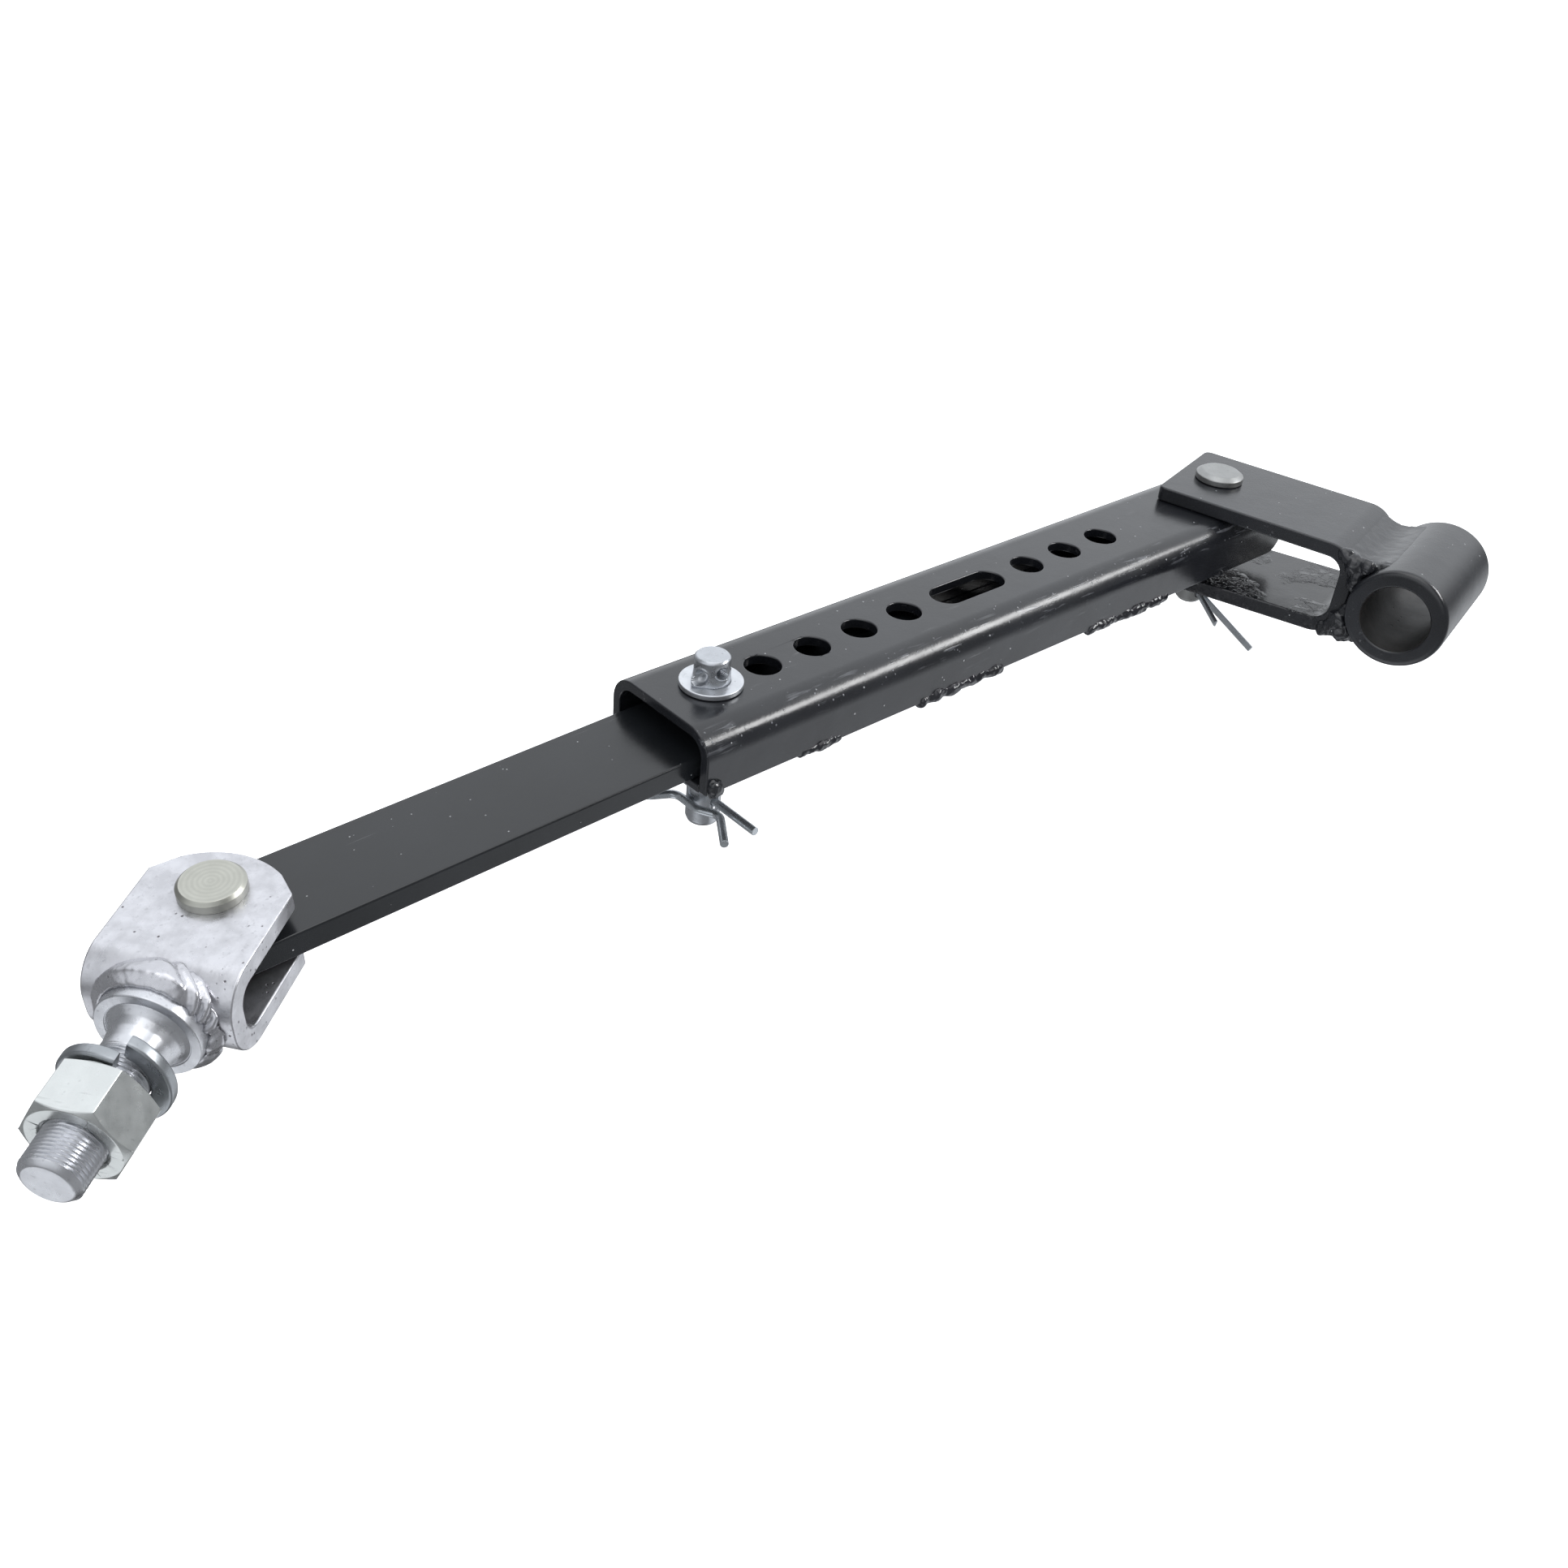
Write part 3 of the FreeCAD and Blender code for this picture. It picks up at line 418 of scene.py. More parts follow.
CHARCOAL = (0.0088, 0.0096, 0.0118)
channel_paint = paint("channel_paint", CHARCOAL, scratch=(0.08, 1, 1), wear=0.15, place=CHANNEL,
                      extra=rubbed_edge)
bar_finish = paint("bar_finish", (0.0082, 0.0094, 0.0110), rough=(0.18, 0.26), lumps=0.05, peel=0.010,
                   specks=0.04, scratch=(0.03, 1, 1), place=BAR, wear=0.1, shine=1.55)
bead_paint = paint("bead_paint", CHARCOAL, rough=(0.16, 0.26), lumps=0.10, peel=0.02)
fork_finish = paint("fork_finish", CHARCOAL, rough=(0.18, 0.27), lumps=0.14, peel=0.04, place=FORK,
                    extra=wrinkled_inside)
sleeve_finish = paint("sleeve_finish", CHARCOAL, rough=(0.17, 0.26), lumps=0.16, peel=0.04, place=SLEEVE,
                      extra=drilled_bore)
yoke_plating = plate_metal("yoke_plating", (0.66, 0.66, 0.69), rough=(0.24, 0.42), place=YOKE, ripple=0.16,
                           pits=0.9, mottle=0.80)
bead_plating = plate_metal("bead_plating", (0.60, 0.60, 0.63), rough=(0.20, 0.36), place=YOKE, ripple=0.15,
                           pits=0.7)
stud_plating = plate_metal("stud_plating", (0.66, 0.67, 0.70), rough=(0.24, 0.36), place=STUD, ripple=0.06,
                           pits=0.2, grit=0.01)
rivet_face = turned_metal("rivet_face", (0.50, 0.50, 0.45), YOKE, rough=(0.28, 0.40), groove=0.012,
                          spacing=1.8)
pin_plating = plate_metal("pin_plating", (0.52, 0.54, 0.57), rough=(0.24, 0.36), ripple=0.05, pits=0.3)
washer_plating = plate_metal("washer_plating", (0.70, 0.72, 0.75), rough=(0.30, 0.42), ripple=0.06,
                             pits=0.4)
nut_plating = plate_metal("nut_plating", (0.66, 0.68, 0.67), rough=(0.20, 0.28), place=STUD, ripple=0.03,
                          pits=0.1, scratch=(1, 0.12, 1), mottle=0.95)
head_plating = plate_metal("head_plating", (0.36, 0.365, 0.36), rough=(0.34, 0.46), place=FORK, ripple=0.12,
                           pits=0.3)
spring_plating = plate_metal("spring_plating", (0.37, 0.39, 0.41), rough=(0.26, 0.38), ripple=0.05,
                             pits=0.2)
wire_plating = plate_metal("wire_plating", (0.55, 0.58, 0.61), rough=(0.22, 0.34), ripple=0.03, pits=0.2)

# ---- channel, plate and stitch welds --------------------------------------------------------

channel_mesh, plate_mesh = eased(cad_mesh("outer_channel"), 0.8), eased(cad_mesh("bottom_plate"), 0.6)
add_piece("channel_finish", channel_mesh, "outer_channel", channel_paint)
add_piece("plate_finish", plate_mesh, "bottom_plate", channel_paint)

# Each stitch's start along the channel, its length and how thick it is.
STITCHES = ((-26, 9, 1.15), (26, 26, 0.8), (102, 60, 1.0), (228, 70, 1.0), (343, 8, 0.8))
STITCH_SIDE, STITCH_LEVEL = 31.3, -28.9
INWARD, LOWER = 1.5, 1.3  # how far a stitch's second, thinner rod is set in and down


def lumpy_rod(name, start, end, radius, place, seed, wobble=0.35, sides=24, step=0.8):
    """A rod between two local points in millimetres whose radius and line wander, rounded at its ends."""
    start, end = Vector(start), Vector(end)
    length = (end - start).length
    along = (end - start).normalized()
    side = along.orthogonal().normalized()
    other = along.cross(side)
    count = max(8, int(length / step))
    rings = []
    for k in range(count + 1):
        t = k / count
        centre = start + (end - start) * t
        wander = place @ (centre * MM)
        centre = centre + side * fractal(wander, 11, 2, seed) * radius * wobble
        centre = centre + other * fractal(wander, 9, 2, seed + 4) * radius * wobble
        cap = math.sqrt(max(0.02, 1 - max(0.0, 1 - min(t, 1 - t) * length / radius) ** 2))
        r = radius * cap * (1 + wobble * fractal(wander, 6, 2, seed + 9))
        turns = [TAU * j / sides for j in range(sides)]
        rings.append([place @ ((centre + (side * math.cos(turn) + other * math.sin(turn)) * r) * MM)
                      for turn in turns])
    return skin(name, rings)


def joined(name, meshes):
    """Several closed meshes in one."""
    bm = bmesh.new()
    for mesh in meshes:
        bm.from_mesh(mesh)
        bpy.data.meshes.remove(mesh)
    result = bpy.data.meshes.new(name)
    bm.to_mesh(result)
    bm.free()
    return result


def molten(mesh, voxel, push, smooth):
    """Melts closed meshes into one even skin and moves it along its normals by push(point) millimetres."""
    mesh = bake(mesh, ("REMESH", {"mode": "VOXEL", "voxel_size": voxel * MM}),
                ("SMOOTH", {"factor": 0.5, "iterations": smooth}))
    moves = [v.normal * push(v.co.copy()) * MM for v in mesh.vertices]
    for vertex, move in zip(mesh.vertices, moves):
        vertex.co += move
    mesh.update()
    shade(mesh, 60)
    return mesh


def stitch_push(point):
    """Rounded ripples along the stitches."""
    ridged = 1 - 2.2 * abs(fractal(point, 5.5, 2, 3.1))
    return 0.5 * ridged - 0.1 + 0.12 * fractal(point, 1.9, 2, 8.0)


stitches = [lumpy_rod("blob", (-27.0, side * 31.8, -26.5), (-19.5, side * 32.6, -25.6), 4.3, CHANNEL,
                      7.0 + side) for side in (-1, 1)]
for side in (-1, 1):
    for start, length, size in STITCHES:
        end, outer, inner = start + length, side * STITCH_SIDE, side * (STITCH_SIDE - INWARD)
        under = STITCH_LEVEL - LOWER
        stitches.append(lumpy_rod("stitch", (start, outer, STITCH_LEVEL), (end, outer, STITCH_LEVEL),
                                  3.1 * size, CHANNEL, start * 0.37 + side))
        stitches.append(lumpy_rod("stitch", (start + 1, inner, under), (end - 1, inner, under), 2.6 * size,
                                  CHANNEL, start * 0.71 + side))
beads = molten(joined("stitches", stitches), 0.6, stitch_push, 8)
add_piece("stitch_beads", beads, "channel_welds", bead_paint)

# ---- bar ------------------------------------------------------------------------------------

add_piece("bar_body", eased(cad_mesh("inner_bar"), 0.6, 3), "inner_bar", bar_finish)

# ---- yoke, rivet, stud and weld -------------------------------------------------------------

add_piece("yoke_strap", eased(cad_mesh("yoke"), 0.9, 3), "yoke", yoke_plating)

RIVET_HEAD, RIVET_SEAT, RIVET_CHAMFER, RIVET_SHANK = 12.46, -4.68, 1.4, 8.0
TAIL_SEAT, TAIL_END, TAIL_RADIUS, TAIL_TAPER = -40.72, -44.2, 11.46, 1.5
RIVET = [(0, NEAR_AXIS), (0, RIVET_HEAD - RIVET_CHAMFER), (-RIVET_CHAMFER, RIVET_HEAD),
         (RIVET_SEAT, RIVET_HEAD), (RIVET_SEAT, RIVET_SHANK), (TAIL_SEAT, RIVET_SHANK),
         (TAIL_SEAT, TAIL_RADIUS), (TAIL_END, TAIL_RADIUS - TAIL_TAPER), (TAIL_END, NEAR_AXIS)]
rivet = turned("rivet", soften(RIVET, 0.18), YOKE, 128)
add_piece("rivet_turned", rivet, "yoke_rivet", rivet_face)

COLLAR_BACK, COLLAR_FRONT, COLLAR_RADIUS, STUD_END = 46.05, 53.6, 19.2, 115.3
THREAD_START, THREAD_END, THREAD_RADIUS, PITCH, THREAD_DEPTH = 66.0, 113.3, 11.0, 1.5, 0.92
RUN_IN = 3.0  # the length over which the thread deepens
# The collar, with a small groove where its front face meets the trumpet-shaped neck.
COLLAR_AND_NECK = [(COLLAR_BACK, NEAR_AXIS), (COLLAR_BACK, COLLAR_RADIUS), (COLLAR_FRONT, COLLAR_RADIUS),
                   (COLLAR_FRONT, 15.5), (COLLAR_FRONT - 0.35, 15.2), (COLLAR_FRONT, 14.8), (54.3, 13.9),
                   (56.0, 12.7), (59.0, 11.6), (63.0, THREAD_RADIUS), (THREAD_START, THREAD_RADIUS)]
ROUNDED_END = [(113.9, 10.45), (114.5, 9.7), (114.95, 9.1), (115.2, 8.6), (STUD_END, 8.2),
               (STUD_END, NEAR_AXIS)]


def thread(along, radius, angle):
    """A right-hand 60 degree thread that runs in and out smoothly."""
    if along < THREAD_START or radius < 5:
        return radius
    turn = (along / PITCH - angle / TAU) % 1.0
    depth = THREAD_DEPTH * min(1.0, max(0.0, 1.25 * abs(2 * turn - 1) - 0.1))
    run_in = min(1.0, (along - THREAD_START) / RUN_IN)
    return min(THREAD_RADIUS - depth * run_in, radius)


ROWS_A_TURN = 9
thread_rows = int((THREAD_END - THREAD_START) / (PITCH / ROWS_A_TURN))
row_step = (THREAD_END - THREAD_START) / thread_rows
stud_rows = [tuple(p) for p in soften(COLLAR_AND_NECK, 0.5)]
stud_rows += [(THREAD_START + row_step * k, THREAD_RADIUS) for k in range(1, thread_rows + 1)]
stud_rows += ROUNDED_END
add_piece("stud_turned", turned("stud", stud_rows, STUD, 80, shape=thread, axis="X"), "stud",
          stud_plating)

# The collar weld's ridges and grooves: the lean round the stud, the width in degrees, the height or depth.
LEAN = 2.6  # degrees by which a ridge turns for each millimetre along the stud
RIDGES = ((66, 9, 0.5), (47, 5, 0.9), (34, 4, 1.2), (21, 5, 0.8), (-4, 9, 1.1), (118, 16, 0.4),
          (-60, 14, 0.6))
GROOVES = ((56, 4, 0.5), (41, 2.5, 1.0), (27, 3, 1.3), (10, 5, 1.1), (-22, 6, 0.8))


def collar_push(point):
    """Smooth at the top, with slanting ripples on the side towards the bar's open edge."""
    local = TO_STUD @ point / MM
    angle = math.degrees(math.atan2(local.z, local.y))
    lean = angle + LEAN * (local.x - 45)
    push = sum(height * math.exp(-(((lean - middle) / width) ** 2)) for middle, width, height in RIDGES)
    push -= sum(depth * math.exp(-(((lean - middle) / width) ** 2)) for middle, width, depth in GROOVES)
    return 0.2 + push + 0.5 * fractal(point, 10, 2, 5.0) + 0.16 * fractal(point, 2.0, 2, 1.0)


BEAD_VOXEL, BEAD_BACK, BEAD_SQUEEZE = 0.7, 46.5, 0.75
collar = bake(cad_mesh("yoke_weld"), ("REMESH", {"mode": "VOXEL", "voxel_size": BEAD_VOXEL * MM}))
for vertex in collar.vertices:
    local = TO_STUD @ vertex.co / MM
    if local.x > BEAD_BACK:
        local.x = BEAD_BACK + (local.x - BEAD_BACK) * BEAD_SQUEEZE
        vertex.co = STUD @ (local * MM)
collar = molten(collar, BEAD_VOXEL, collar_push, 14)
add_piece("collar_bead", collar, "yoke_weld", bead_plating)

# ---- lock washer and nut --------------------------------------------------------------------


def coil(name, place, back, rise, thickness, inner, outer, rounding, first_degrees, gap_degrees, steps=120):
    """One left-handed turn of rounded rectangular wire, a little thinner at its two cut ends."""
    corners = [(0, inner), (0, outer), (thickness, outer), (thickness, inner)]
    section = soften(corners, rounding, 4, closed=True)
    rings = []
    for k in range(steps + 1):
        t = k / steps
        angle = math.radians(first_degrees - t * (360 - gap_degrees))
        shrink = 1.0 - 0.06 * max(0.0, 1 - min(t, 1 - t) * steps)
        ring = []
        for p in section:
            along = (p.x - thickness / 2) * shrink + thickness / 2 + back + rise * t
            radius = (p.y - (inner + outer) / 2) * shrink + (inner + outer) / 2
            ring.append(place @ (Vector((along, radius * math.cos(angle), radius * math.sin(angle))) * MM))
        rings.append(ring)
    return skin(name, rings)


spring = coil("spring", STUD, back=67.2, rise=7.6, thickness=4.7, inner=11.5, outer=19.1, rounding=1.2,
              first_degrees=70, gap_degrees=1)
add_piece("spring_coil", spring, "lock_washer", spring_plating)

NUT_BACK, NUT_FRONT, NUT_FLATS, NUT_BORE, MOUTH_RADIUS = 79.8, 100.0, 34.0, 11.08, 14.2
BEYOND_CORNERS = 22.8
CROWN = [(NUT_BACK, NEAR_AXIS), (NUT_BACK, 16.8), (NUT_BACK + 2.4, BEYOND_CORNERS),
         (NUT_FRONT - 3.4, BEYOND_CORNERS), (NUT_FRONT, 16.4), (NUT_FRONT, NEAR_AXIS)]
NUT_HOLE = [(NUT_BACK - 2, NEAR_AXIS), (NUT_BACK - 2, MOUTH_RADIUS), (NUT_BACK + 1.2, NUT_BORE),
            (NUT_FRONT - 1.2, NUT_BORE), (NUT_FRONT + 2, MOUTH_RADIUS), (NUT_FRONT + 2, NEAR_AXIS)]


def nut_mesh():
    """A hexagon crowned at both ends, with a countersunk bore."""
    corner = NUT_FLATS / math.sqrt(3)
    prism = turned("nut", [(NUT_BACK, corner), (NUT_FRONT, corner)], STUD, 6, axis="X")
    prism = carve(prism, turned("crown", CROWN, STUD, 128, axis="X"), "INTERSECT")
    prism = carve(prism, turned("bore", NUT_HOLE, STUD, 96, axis="X"))
    return eased(prism, 0.3, 2, 20)


add_piece("nut_crowned", nut_mesh(), "hex_nut", nut_plating)

# ---- adjuster pin, washer and clip ----------------------------------------------------------

# Each as its turn round the pin, its level, its half-widths round and along the pin, and its height or depth.
EARS = ((-178, 4.2, 19, 2.6, 2.6), (-84, 6.6, 14, 2.4, 1.1), (2, 4.2, 19, 2.6, 2.2),
        (96, 6.6, 14, 2.4, 1.1))
MOUTHS = ((-163, 7.4, 23, 3.4, 4.4), (-98, 10.0, 18, 2.6, 6.0), (17, 7.4, 23, 3.4, 4.2),
          (82, 10.0, 18, 2.6, 5.8))


def apart(angle, degrees):
    return (math.degrees(angle) - degrees + 180) % 360 - 180


def punched(along, radius, angle):
    """Craters with raised rims, and the ears that the punch threw out below them."""
    if radius < 6.5 or along < 0 or along > 14.4:
        return radius
    push = 0.0
    for turn, level, width, tall, height in EARS:
        push += height * math.exp(-((apart(angle, turn) / width) ** 2) - abs((along - level) / tall) ** 3)
    for turn, level, width, tall, depth in MOUTHS:
        away = math.hypot(apart(angle, turn) / width, (along - level) / tall)
        push -= depth * max(0.0, 1 - away**2) ** 0.35
        push += 0.35 * math.exp(-(((away - 1.12) / 0.16) ** 2))
    swell = 0.5 * max(0.0, 1 - abs(along - 4) / 4)
    return min(radius + push, 10.6) + swell


PIN_RADIUS, PIN_END, PIN_TOP, CLIP_LEVEL = 8.0, -71.5, 15.3, -58.0
CROSS_RADIUS, CROSS_HALF, FINE_STEP, FINE_ROWS = 2.35, 12, 0.25, 56
pin_rows = [(PIN_END, NEAR_AXIS), (PIN_END, 6.6), (-71.1, 7.2), (-69.4, 7.9), (-69.0, PIN_RADIUS),
            (-30, PIN_RADIUS)]
pin_rows += [(FINE_STEP * k, PIN_RADIUS) for k in range(FINE_ROWS)]
pin_rows += [(14.1, PIN_RADIUS), (14.3, 7.9), (15.1, 7.1), (PIN_TOP, 6.7), (PIN_TOP, NEAR_AXIS)]
pin = turned("adjuster", pin_rows, CHANNEL, 144, shape=punched)
cross_rows = [(-CROSS_HALF, NEAR_AXIS), (-CROSS_HALF, CROSS_RADIUS), (CROSS_HALF, CROSS_RADIUS),
              (CROSS_HALF, NEAR_AXIS)]
cross = turned("cross", cross_rows, CHANNEL @ axes((0, 0, CLIP_LEVEL), (1, 0, 0), (0, 1, 0)), 32)
add_piece("pin_punched", carve(pin, cross), "adjuster_pin", pin_plating)

WASHER_FROM, WASHER_TO, WASHER_BORE, WASHER_RADIUS = 0.3, 2.8, 8.4, 14.3
WASHER = [(WASHER_FROM, WASHER_BORE), (WASHER_FROM, WASHER_RADIUS), (WASHER_TO, WASHER_RADIUS),
          (WASHER_TO, WASHER_BORE)]
washer = turned("washer", soften(WASHER, 0.5, 3, closed=True), CHANNEL, 96, looped=True)
add_piece("washer_pressed", washer, "adjuster_washer", washer_plating)

# Each corner of the clip's wire as its place across the pin and the radius of its bend.
CLIP_ROUTE = ((0, -36, 0), (0, 36, 12), (-24, 36, 11.9), (-24, 14, 7), (-10.4, 7, 6), (-10.4, -8, 6),
              (-5, -17.5, 5), (-17, -35, 0))


def rounded_route(route, step=5):
    """Points along straight runs and the arcs that join them, as (point, heading)."""
    corners = [Vector((x, y)) for x, y, _ in route]
    path = [corners[0]]
    for before, corner, after, (_, _, radius) in zip(corners, corners[1:], corners[2:], route[1:]):
        back, ahead = (before - corner).normalized(), (after - corner).normalized()
        half = back.angle(ahead) / 2
        reach = radius / math.tan(half)
        centre = corner + (back + ahead).normalized() * (radius / math.sin(half))
        start, end = corner + back * reach, corner + ahead * reach
        first = math.atan2(*(start - centre).yx)
        sweep = (math.atan2(*(end - centre).yx) - first + math.pi) % TAU - math.pi
        count = max(4, int(abs(math.degrees(sweep)) / step))
        turns = [first + sweep * k / count for k in range(count + 1)]
        path += [centre + radius * Vector((math.cos(turn), math.sin(turn))) for turn in turns]
    return path + [corners[-1]]


def wire_mesh(name, route, level, radius, place, sides=20):
    """Round wire along a flat route at one level."""
    path = rounded_route(route)
    rings = []
    for k, point in enumerate(path):
        ahead = path[min(k + 1, len(path) - 1)] - path[max(k - 1, 0)]
        side = Vector((-ahead.y, ahead.x)).normalized()
        ring = []
        for j in range(sides):
            angle = TAU * j / sides
            x, y = point + side * radius * math.cos(angle)
            ring.append(place @ (Vector((x, y, level + radius * math.sin(angle))) * MM))
        rings.append(ring)
    return skin(name, rings)


WIRE_RADIUS = 2.0
clip = eased(wire_mesh("clip", CLIP_ROUTE, CLIP_LEVEL, WIRE_RADIUS, CHANNEL), 0.25, 2, 50)
add_piece("clip_bent", clip, "adjuster_clip", wire_plating)

# ---- fork, sleeve, welds and rear pin -------------------------------------------------------

add_piece("fork_strap", eased(cad_mesh("fork"), 1.0, 3), "fork", fork_finish)

SLEEVE_HALF, SLEEVE_RADIUS, SLEEVE_BORE, BORE_CHAMFER = 42.6, 26.9, 18.1, 0.8
BORE_EDGE, BORE_START = SLEEVE_BORE + BORE_CHAMFER, SLEEVE_HALF - BORE_CHAMFER
SLEEVE_OUTLINE = [(-SLEEVE_HALF, BORE_EDGE), (-SLEEVE_HALF, SLEEVE_RADIUS), (SLEEVE_HALF, SLEEVE_RADIUS),
                  (SLEEVE_HALF, BORE_EDGE), (BORE_START, SLEEVE_BORE), (-BORE_START, SLEEVE_BORE)]
SLEEVE_ROUNDS = (0.3, 3.4, 3.4, 0.3, 0.3, 0.3)
sleeve_loop = soften(SLEEVE_OUTLINE, SLEEVE_ROUNDS, 5, closed=True)
sleeve = turned("sleeve", sleeve_loop, SLEEVE, 128, looped=True, axis="X")
add_piece("sleeve_tube", sleeve, "pivot_sleeve", sleeve_finish)

# Outlines of the metal laid in the two crevices, across the fork's X and Z; their inner parts lie inside
# the strap and the sleeve.
UPPER_FILL = ((78, 7.2), (85, 6.6), (91, 4.0), (97, 2.0), (103, 2.7), (109, 5.0), (114, 6.5), (112, -4),
              (102, -12), (94, -13), (88, -4))
LOWER_FILL = ((80, -42.6), (90, -43.2), (99, -43.6), (108, -42.6), (113, -40), (108, -34), (101, -27),
              (94, -26), (88, -35))


FILL_HALF, FILL_STEPS, FILL_END, FILL_SHRINK, FILL_MIDDLE = 33.6, 59, 3.0, 0.10, 96


def filler(name, outline):
    """The metal along one crevice, drawn in a little at its two ends."""
    outline = soften(outline, 2.5, 3, closed=True)
    middle = Vector((FILL_MIDDLE, outline[0].y * 0.6))
    rings = []
    for k in range(FILL_STEPS + 1):
        across = -FILL_HALF + 2 * FILL_HALF * k / FILL_STEPS
        edge = max(0.0, abs(across) - FILL_HALF + FILL_END) / FILL_END
        shrink = 1 - FILL_SHRINK * edge**2
        rings.append([FORK @ (Vector((middle.x + (p.x - middle.x) * shrink, across,
                                      middle.y + (p.y - middle.y) * shrink)) * MM) for p in outline])
    return skin(name, rings)


def fork_bead_push(point):
    """Nearly smooth along the crevice and lumpy at its near end."""
    local = TO_FORK @ point / MM
    rough = min(1.0, max(0.06, (-local.y - 26) / 7))
    return rough * (0.5 + 1.7 * fractal(point, 6, 3, 2.0)) + 0.3 * fractal(point, 2.2, 2, 6.0) * rough


NEAR_BLOB, FAR_BLOB = (1.0, 0.0), (0.62, 3.0)  # a blob's size and how far it sinks, on each side
for where, outline, level, turn in (("upper", UPPER_FILL, 0.0, 1), ("lower", LOWER_FILL, -38.0, -1)):
    lumps = [filler("fill", outline)]
    for side, (size, drop) in ((-1, NEAR_BLOB), (1, FAR_BLOB)):
        first = (84, side * 33.0, level + (4.0 - drop) * turn)
        last = (104, side * 35.0, level - (1.5 + drop) * turn)
        lumps.append(lumpy_rod("blob", first, last, 4.2 * size, FORK, 2.0 + side))
        first = (92, side * 34.0, level + (1.0 - drop) * turn)
        last = (99.5, side * 34.5, level - 17 * turn)
        lumps.append(lumpy_rod("blob", first, last, 4.6 * size, FORK, 5.0 + side))
    bead = molten(joined("fill", lumps), 0.8, fork_bead_push, 10)
    add_piece(f"fork_bead_{where}", bead, f"fork_weld_{where}", fork_finish)

add_piece("rear_pin_headed", eased(cad_mesh("rear_pin"), 0.45, 3), "rear_pin", head_plating)
add_piece("split_pin_bent", eased(cad_mesh("rear_split_pin"), 0.3, 2, 40), "rear_split_pin",
          wire_plating)

# ---- floor, light and camera ----------------------------------------------------------------

low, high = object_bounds()
FLOOR_HALF, FLOOR_GAP = 9.0, 0.0005
floor_corners = [(x * FLOOR_HALF, y * FLOOR_HALF, low[2] - FLOOR_GAP)
                 for x, y in ((-1, -1), (1, -1), (1, 1), (-1, 1))]
floor_mesh = bpy.data.meshes.new("floor")
floor_mesh.from_pydata(floor_corners, [], [(0, 1, 2, 3)])
floor = bpy.data.objects.new("floor", floor_mesh)
scene.collection.objects.link(floor)
floor_finish = Finish("floor_finish")
grain = floor_finish.noise(400, 3)
floor_color = floor_finish.blend(grain, rgb(0.92, 0.92, 0.92), rgb(0.95, 0.95, 0.95))
floor_mesh.materials.append(floor_finish.finish(floor_color, floor_finish.spread(grain, 0, 1, 0.85, 0.95),
                                                floor_finish.bump(grain, 0.1), Emission_Strength=0.9))
floor_finish.shader.inputs["Emission Color"].default_value = rgb(1, 1, 1)
floor.visible_glossy = False

world = bpy.data.worlds.new("studio")
scene.world = world
world.use_nodes = True
sky = world.node_tree
direction = sky.nodes.new("ShaderNodeTexCoord").outputs["Generated"]


def glow(toward, low_dot, high_dot, amount):
    """A wide soft patch of light in the surroundings, centred on a direction."""
    dot = sky.nodes.new("ShaderNodeVectorMath")
    dot.operation = "DOT_PRODUCT"
    dot.inputs[1].default_value = Vector(toward).normalized()
    sky.links.new(direction, dot.inputs[0])
    fade = sky.nodes.new("ShaderNodeMapRange")
    fade.interpolation_type = "SMOOTHSTEP"
    fade.inputs["From Min"].default_value = low_dot
    fade.inputs["From Max"].default_value = high_dot
    fade.inputs["To Max"].default_value = amount
    sky.links.new(dot.outputs["Value"], fade.inputs["Value"])
    return fade.outputs["Result"]


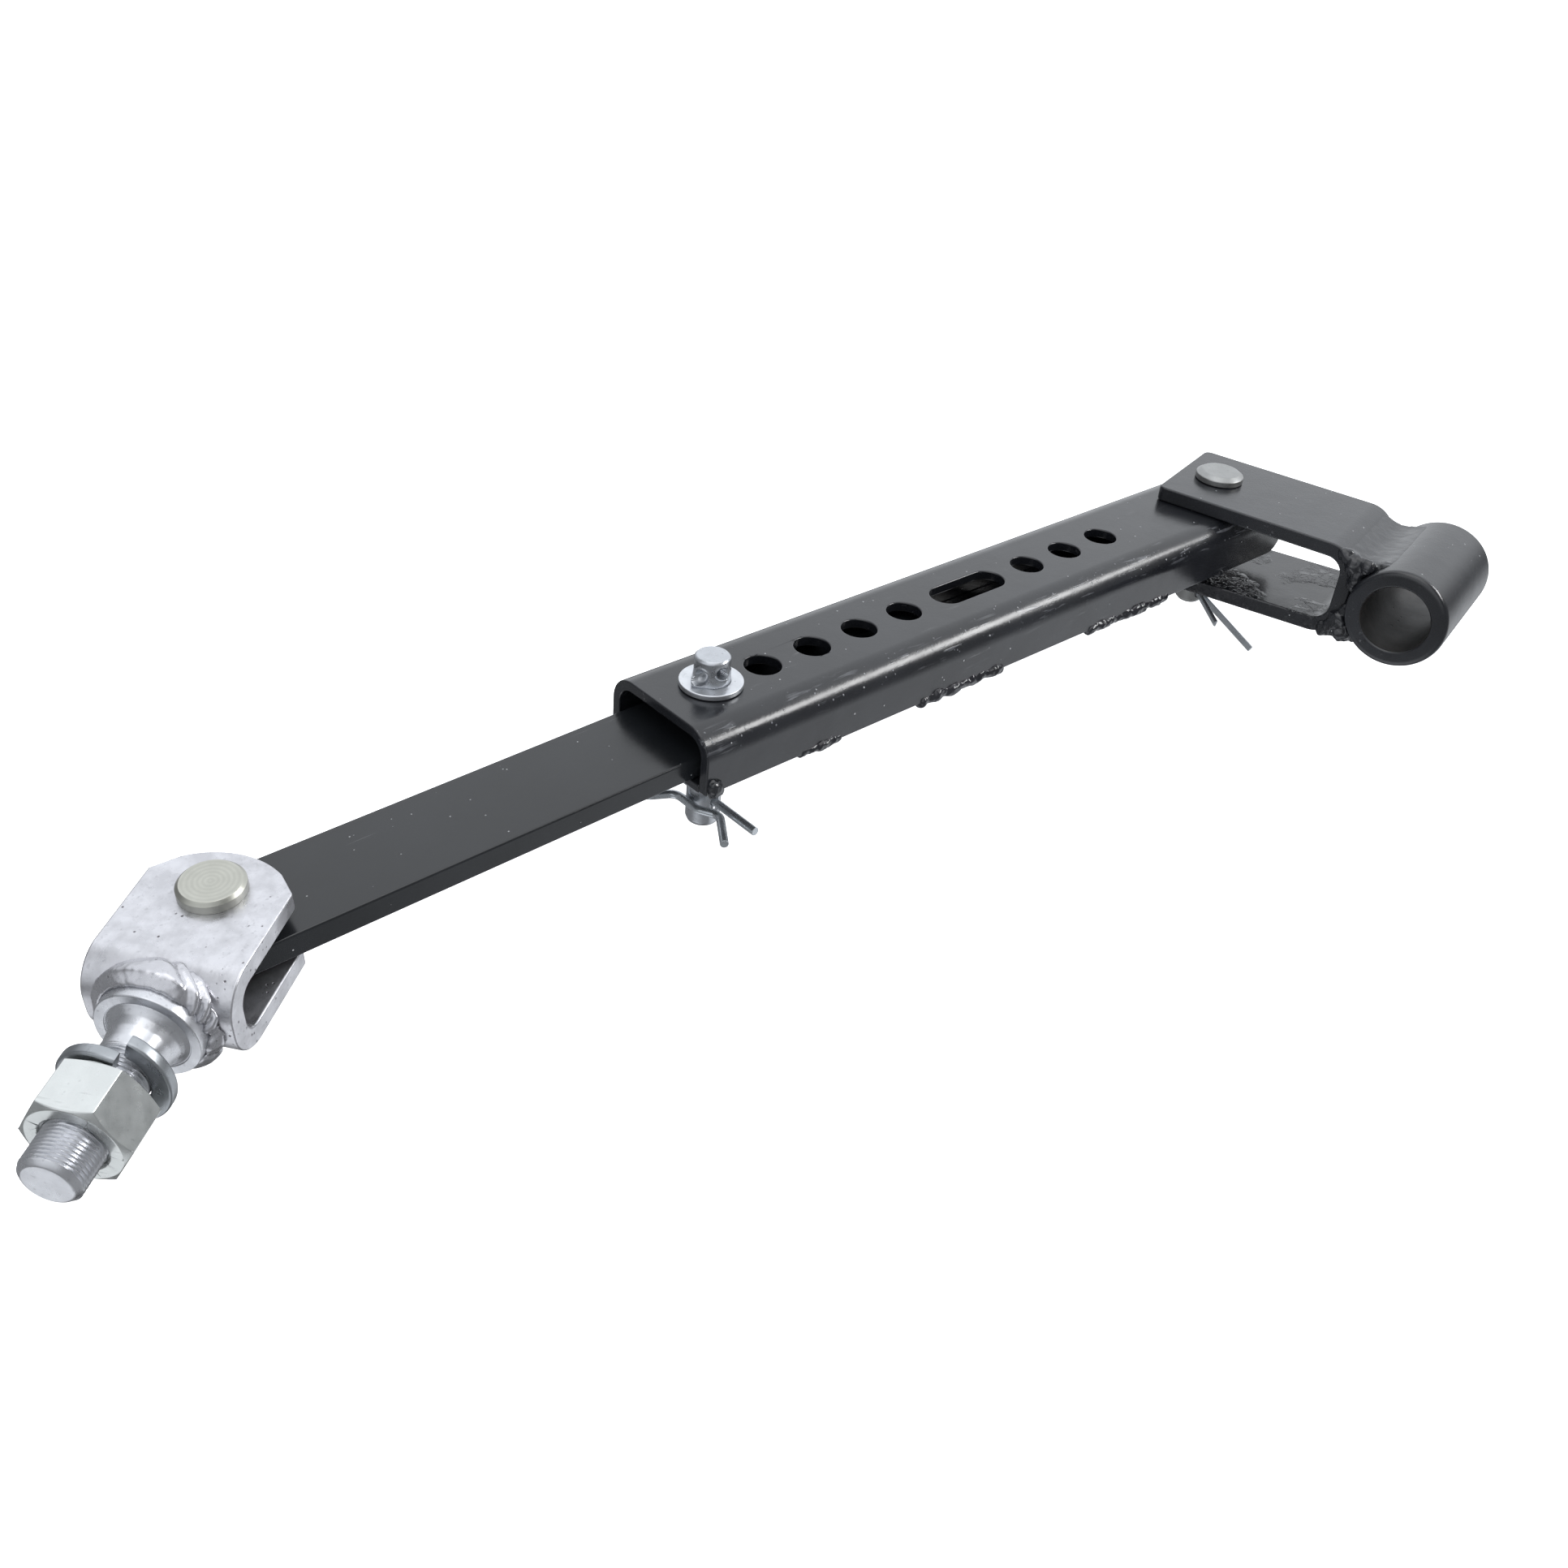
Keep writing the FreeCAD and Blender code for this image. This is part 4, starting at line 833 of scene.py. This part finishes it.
# Each patch as the direction of its middle, the cosines at which it starts and is full, and its radiance.
BRIGHT_BACK = ((0.55, 0.45, 0.70), 0.40, 0.80, 1.06)
LOW_RIGHT = ((0.72, -0.30, -0.62), 0.78, 0.97, 0.72)
LOW_LEFT = ((-0.52, -0.10, -0.85), 0.88, 0.965, 0.80)
HIGH_LEFT = ((-0.75, -0.25, 0.62), 0.60, 0.97, 0.80)
ALL_ROUND = ((0, 0, 1), -1.0, -0.9, 0.24)
brightness = glow(*BRIGHT_BACK)
for patch in (LOW_RIGHT, LOW_LEFT, HIGH_LEFT, ALL_ROUND):
    total = sky.nodes.new("ShaderNodeMath")
    sky.links.new(brightness, total.inputs[0])
    sky.links.new(glow(*patch), total.inputs[1])
    brightness = total.outputs["Value"]
sky.links.new(brightness, sky.nodes["Background"].inputs["Strength"])
sky.nodes["Background"].inputs["Color"].default_value = rgb(0.93, 0.96, 1.0)


def softbox(name, aim, distance, width, height, radiance):
    """A panel of even light that faces the middle of the object from the direction aim."""
    lamp = bpy.data.lights.new(name, "AREA")
    lamp.shape = "RECTANGLE"
    lamp.size, lamp.size_y = width, height
    lamp.energy = math.pi * width * height * radiance
    panel = bpy.data.objects.new(name, lamp)
    scene.collection.objects.link(panel)
    middle = (Vector(low) + Vector(high)) / 2
    toward = Vector(aim).normalized()
    panel.location = middle + toward * distance
    panel.rotation_euler = toward.to_track_quat("Z", "Y").to_euler()


softbox("overhead", (-0.1, -0.1, 1.0), 1.7, 1.5, 1.5, 0.9)
softbox("key", (0.66, -0.50, 0.56), 2.0, 1.10, 0.40, 12.0)

AZIMUTH, ELEVATION, ROLL, DISTANCE, LENS = -45.107, 34.838, 5.87, 0.62346, 35.98
az, el, roll = (math.radians(v) for v in (AZIMUTH, ELEVATION, ROLL))
back = Vector((math.sin(az) * math.cos(el), -math.cos(az) * math.cos(el), math.sin(el)))
level_right = Vector((math.cos(az), math.sin(az), 0))
level_up = back.cross(level_right)
right = math.cos(roll) * level_right + math.sin(roll) * level_up
up = -math.sin(roll) * level_right + math.cos(roll) * level_up
camera = bpy.data.objects.new("camera", bpy.data.cameras.new("camera"))
scene.collection.objects.link(camera)
camera.data.lens = LENS
camera.data.sensor_width = 36.0
camera.data.clip_start = 0.01
aim_at = (STATION + Vector((-23.9, -74.6, 0))) * MM
camera_axes = Matrix((right, up, back)).transposed().to_4x4()
camera.matrix_world = Matrix.Translation(aim_at + back * DISTANCE) @ camera_axes
scene.camera = camera
scene.view_settings.view_transform = "Standard"
